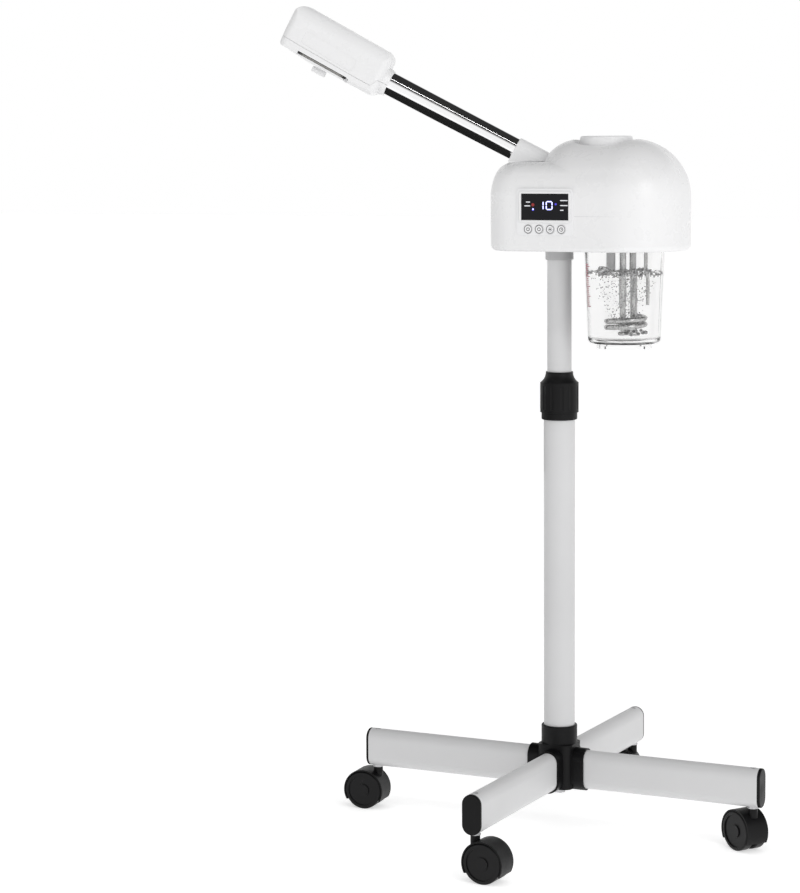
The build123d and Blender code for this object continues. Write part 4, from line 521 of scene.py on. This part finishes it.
def frame_mesh():
    """Raised frame round the window: out at its foot, a rounded crest, then down to the glass."""
    bm = bmesh.new()
    middle = (window_low + window_high) / 2
    half_w = (window_high.x - window_low.x) / 2
    half_h = (window_high.z - window_low.z) / 2
    panel_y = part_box("display_bezel")[0].y
    profile = ((1.0, 0.1 * MM), (1.0, -0.25 * MM), (0.88, -0.5 * MM), (0.7, -FRAME_PROUD),
               (0.35, -FRAME_PROUD), (0.12, -0.35 * MM), (0.08, 0.1 * MM))
    loops = []
    for share, forward in profile:
        reach = FRAME_REACH * share
        outline = rounded_loop(half_w + reach, half_h + reach, max(FRAME_CORNER * share, 0.5 * MM))
        loops.append([bm.verts.new((middle.x + u, panel_y + forward, middle.z + v)) for u, v in outline])
    skin(bm, loops, closed=True)
    return mesh_from("display_frame", bm)


piece("display_frame", frame_mesh(), HOUSING, "head")

# ------------------------------------------------------------ button marks
PRINT_GREY = moulded_plastic("print_grey", (0.012, 0.012, 0.014), (0.024, 0.024, 0.026),
                             (0.4, 0.5), 0.00001, 900, shine=0.2)
RAYS = 8
RAY_REACH = 1.85 * MM
for number in (1, 2, 3, 4):
    node = f"button_{number}"
    middle = centre_of(node)
    face = (middle.x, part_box(node)[0].y, middle.z)
    bm = bmesh.new()
    ring(bm, face, 4.15 * MM, 3.65 * MM, INK)
    if number == 1:      # on
        ring(bm, face, 1.9 * MM, 1.35 * MM, INK, math.radians(125), math.radians(415), 32)
        bar(bm, (face[0], face[1], face[2] + 1.2 * MM), 0.55 * MM, 2.0 * MM, INK)
    elif number == 2:    # off
        ring(bm, face, 1.8 * MM, 1.2 * MM, INK)
    elif number == 3:    # light
        disc(bm, face, 0.85 * MM, INK)
        for k in range(RAYS):
            angle = k * 2 * math.pi / RAYS
            spot = (face[0] + RAY_REACH * math.cos(angle), face[1], face[2] + RAY_REACH * math.sin(angle))
            bar(bm, spot, 0.9 * MM, 0.45 * MM, INK, angle)
    else:                # time
        ring(bm, face, 2.0 * MM, 1.5 * MM, INK)
        bar(bm, (face[0], face[1], face[2] + 0.6 * MM), 0.45 * MM, 1.2 * MM, INK)
        bar(bm, (face[0] + 0.45 * MM, face[1], face[2]), 1.0 * MM, 0.45 * MM, INK)
    piece(f"button_mark_{number}", mesh_from(node, bm), PRINT_GREY, node)

# ------------------------------------------------------------ parting line
PARTING_UP = window_low.z + 3.9 * MM
PARTING_FROM = window_high.x + 5.5 * MM
PARTING_TO = PARTING_FROM + 43 * MM
PARTING_HALF = 0.16 * MM
PARTING_FADE = 0.6              # share of its height that the line loses by its end
PARTING_STEPS = 24
BEFORE_HEAD = -0.3              # a place on Y in front of the head


def surface_ahead(shell, x, z):
    """Where a line along +Y first meets the shell."""
    return shell.ray_cast(Vector((x, BEFORE_HEAD, z)), Vector((0, 1, 0)))[1]


bm = bmesh.new()
loops = []
for k in range(PARTING_STEPS + 1):
    x = PARTING_FROM + (PARTING_TO - PARTING_FROM) * k / PARTING_STEPS
    met = surface_ahead(nodes["head_shell"], x, PARTING_UP)
    thin = PARTING_HALF * (1 - PARTING_FADE * k / PARTING_STEPS)
    loops.append([bm.verts.new((x, met.y + side, PARTING_UP + rise))
                  for side, rise in ((-INK, -thin), (-INK, thin), (INK, thin), (INK, -thin))])
skin(bm, loops, capped=True)
LINE_GREY = moulded_plastic("line_grey", (0.50, 0.50, 0.51), (0.58, 0.58, 0.59), (0.4, 0.5), 0.00001, 900)
piece("parting_line", mesh_from("parting_line", bm), LINE_GREY, "head")

# --------------------------------------------------------------- cup filling
cup_low, cup_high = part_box("glass_cup")
cup_axis = centre_of("glass_cup")
CUP_WALL = 2.2 * MM
CUP_INNER_TOP = (cup_high.x - cup_low.x) / 2 - CUP_WALL
CUP_INNER_FOOT = CUP_INNER_TOP - 3.6 * MM
CUP_TAPER_LOW = cup_low.z + 12.0 * MM
CUP_TAPER_HIGH = cup_low.z + 97.5 * MM
CUP_FLOOR = cup_low.z + 8.0 * MM
WATER_LEVEL = cup_low.z + 77.0 * MM
OVERLAP = 0.12 * MM
RIGHT_OF_VIEW = Vector((math.cos(PAN), math.sin(PAN)))
NEAR_TO_VIEW = Vector((math.sin(PAN), -math.cos(PAN)))


def cup_inner_radius(z):
    share = (z - CUP_TAPER_LOW) / (CUP_TAPER_HIGH - CUP_TAPER_LOW)
    return CUP_INNER_FOOT + (CUP_INNER_TOP - CUP_INNER_FOOT) * min(max(share, 0), 1)


def boil_height(x, y):
    """Height of the boiling surface over its still level, at a place from the cup's axis."""
    place = Vector((x, y, 0))
    ripple = noise.noise(place * 130) * 1.9 + noise.noise(place * 330 + Vector((4, 1, 7))) * 1.1
    heave = 0
    for across, near, height, spread in ((-21, 10, 5.5, 8.0), (13, 12, 3.6, 9.0), (22, -6, 2.6, 7.0)):
        middle = (RIGHT_OF_VIEW * across + NEAR_TO_VIEW * near) * MM
        distance = (Vector((x, y)) - middle).length
        heave += height * math.exp(-(distance / (spread * MM)) ** 2)
    return (ripple + heave) * MM


def water_mesh():
    """Water up to its boiling surface, a hair into the glass so that no gap shows."""
    bm = bmesh.new()
    around = 96
    bottom_round = 4.0 * MM
    profile = []
    for k in range(5):
        angle = math.pi / 2 * k / 4
        profile.append((CUP_INNER_FOOT - bottom_round + bottom_round * math.sin(angle) + OVERLAP,
                        CUP_FLOOR + bottom_round - bottom_round * math.cos(angle) - OVERLAP))
    levels = 10
    for k in range(1, levels):
        z = CUP_TAPER_LOW + (WATER_LEVEL - CUP_TAPER_LOW) * k / levels
        profile.append((cup_inner_radius(z) + OVERLAP, z))
    rim = cup_inner_radius(WATER_LEVEL) + OVERLAP
    rings = [[bm.verts.new((cup_axis.x + radius * math.cos(2 * math.pi * j / around),
                            cup_axis.y + radius * math.sin(2 * math.pi * j / around), z))
              for j in range(around)] for radius, z in profile]
    inward = 34
    for k in range(inward):
        radius = rim * (1 - k / inward)
        loop = []
        for j in range(around):
            x = radius * math.cos(2 * math.pi * j / around)
            y = radius * math.sin(2 * math.pi * j / around)
            loop.append(bm.verts.new((cup_axis.x + x, cup_axis.y + y, WATER_LEVEL + boil_height(x, y))))
        rings.append(loop)
    skin(bm, rings)
    for loop, z in ((rings[0], CUP_FLOOR - OVERLAP), (rings[-1], WATER_LEVEL + boil_height(0, 0))):
        hub = bm.verts.new((cup_axis.x, cup_axis.y, z))
        for j in range(around):
            bm.faces.new((loop[j], loop[(j + 1) % around], hub))
    return mesh_from("water", bm, smooth=True)


piece("water", water_mesh(), WATER, "cup")


BUBBLE_SQUASH = 0.85
RISING_COUNT = 620
FROTH_COUNT = 900
YOUNG_COUNT = 9


def bubble_cloud(name, spots, material, detail=2):
    """One mesh of round bubbles, at (x, y, z, radius) from the cup's axis."""
    bm = bmesh.new()
    for x, y, z, radius in spots:
        place = Matrix.Translation((cup_axis.x + x, cup_axis.y + y, z))
        squash = Matrix.Diagonal((1, 1, BUBBLE_SQUASH, 1))
        bmesh.ops.create_icosphere(bm, subdivisions=detail, radius=radius, matrix=place @ squash)
    return piece(name, mesh_from(name, bm, smooth=True), material, "cup")


def bubble_material():
    """Air in water: some bubbles pass the light, and others carry painted shade, a dark colour in patches
    standing in for the dark look that bent and reflected light gives them.
    """
    material, shader = new_material("bubble")
    coords = object_coords(material)
    bubble_shade_patch = noise_node(material, coords, 260, 1)
    # painted shade: the dark end of this ramp darkens some bubbles in place of their refraction
    tint = ramp_node(material, bubble_shade_patch, "Fac", [(0.46, (0.10, 0.10, 0.105)), (0.62, (0.92, 0.92, 0.92))])
    link(material, tint, "Color", shader, "Base Color")
    shader.inputs["Roughness"].default_value = 0.02
    shader.inputs["Transmission Weight"].default_value = 1.0
    shader.inputs["IOR"].default_value = 0.78
    return material


BUBBLE = bubble_material()
random.seed(7)
rising = []
while len(rising) < RISING_COUNT:
    share = random.random() ** 0.62
    z = cup_low.z + (20 + 56 * share) * MM
    spread = (10 + 26 * share) * MM
    angle = random.uniform(0, 2 * math.pi)
    radius = spread * math.sqrt(random.random())
    if radius < cup_inner_radius(z) - 2 * MM:
        size = random.uniform(0.35, 0.95) * MM
        rising.append((radius * math.cos(angle), radius * math.sin(angle), z, size))
bubble_cloud("rising_bubbles", rising, BUBBLE, 1)

froth = []
for _ in range(FROTH_COUNT):
    angle = random.uniform(0, 2 * math.pi)
    radius = (cup_inner_radius(WATER_LEVEL) - 1.5 * MM) * math.sqrt(random.random())
    x, y = radius * math.cos(angle), radius * math.sin(angle)
    depth = random.uniform(-3.6, 0.1) * MM
    froth.append((x, y, WATER_LEVEL + boil_height(x, y) + depth, random.uniform(0.6, 1.5) * MM))
bubble_cloud("froth", froth, BUBBLE, 2)

young = []
for k in range(YOUNG_COUNT):
    across = (1.0 + 2.3 * k) * MM
    place = RIGHT_OF_VIEW * across + NEAR_TO_VIEW * (9 - 4 * math.sin(k * 1.9)) * MM
    young.append((place.x, place.y, cup_low.z + (15.5 + 2.0 * math.sin(k * 2.3) + 0.2 * k) * MM,
                  (2.3 + 0.5 * math.cos(k * 1.7)) * MM))
bubble_cloud("young_bubbles", young, BUBBLE, 2)

# ---------------------------------------------------------------- aroma pad
PAD_START = 4.4 * MM            # along the door from its hinge
PAD_END = 54.4 * MM
PAD_LIFT = 0.9 * MM             # the pad's foot over the hinge at its start
PAD_SLOPE = 0.028               # the door's top climbs a little towards the mouth
PAD_HALF_WIDTH = 17 * MM
PAD_CORNER = 3 * MM
PAD_THICK = 1.9 * MM


def joint_called(name):
    return next(joint for joint in record["behaviour"]["joints"] if joint["name"] == name)


hinge_place = Vector(joint_called("aroma_door_hinge")["pos_m"])
along_arm = Vector(joint_called("nozzle_roll")["axis"]).normalized()
across_arm = Vector(joint_called("aroma_door_hinge")["axis"]).normalized()
out_of_door = along_arm.cross(across_arm)
pad_inner, pad_outer = PAD_HALF_WIDTH - PAD_CORNER, PAD_HALF_WIDTH
pad_outline = [(PAD_START, -pad_inner), (PAD_START, pad_inner),
               (PAD_START + PAD_CORNER, pad_outer), (PAD_END - PAD_CORNER, pad_outer),
               (PAD_END, pad_inner), (PAD_END, -pad_inner),
               (PAD_END - PAD_CORNER, -pad_outer), (PAD_START + PAD_CORNER, -pad_outer)]
bm = bmesh.new()
pad_rings = []
for height in (0, PAD_THICK):
    pad_rings.append([bm.verts.new(hinge_place + along_arm * s + across_arm * w
                                   + out_of_door * (PAD_LIFT + PAD_SLOPE * (s - PAD_START) + height))
                      for s, w in pad_outline])
skin(bm, pad_rings, capped=True)
piece("aroma_pad", mesh_from("aroma_pad", bm), SEAL, "aroma_door")

# ----------------------------------------------------------------- cup scale
SCALE_RED = moulded_plastic("scale_red", (0.34, 0.07, 0.10), (0.45, 0.13, 0.16), (0.35, 0.5), 0.00001, 900)
SCALE_AZIMUTH = math.radians(-146)
SCALE_FOOT, SCALE_PITCH, SCALE_TICKS = 43, 2.0, 22
LONG_TICK, SHORT_TICK, LONG_EVERY = 10.5, 7.5, 5


def curved_tick(bm, z, reach, height):
    """Adds a printed tick that wraps round the outside of the cup."""
    steps = 5
    radius = cup_inner_radius(z) + CUP_WALL
    loops = []
    for k in range(steps + 1):
        angle = SCALE_AZIMUTH + reach / radius * k / steps
        loop = []
        for grow, lift in ((-INK, -height / 2), (INK, -height / 2), (INK, height / 2), (-INK, height / 2)):
            loop.append(bm.verts.new((cup_axis.x + (radius + grow) * math.cos(angle),
                                      cup_axis.y + (radius + grow) * math.sin(angle), z + lift)))
        loops.append(loop)
    skin(bm, loops, capped=True)


bm = bmesh.new()
for k in range(SCALE_TICKS):
    z = cup_low.z + (SCALE_FOOT + SCALE_PITCH * k) * MM
    curved_tick(bm, z, (SHORT_TICK if k % LONG_EVERY else LONG_TICK) * MM, 1.0 * MM)
piece("cup_scale", mesh_from("cup_scale", bm), SCALE_RED, "cup")
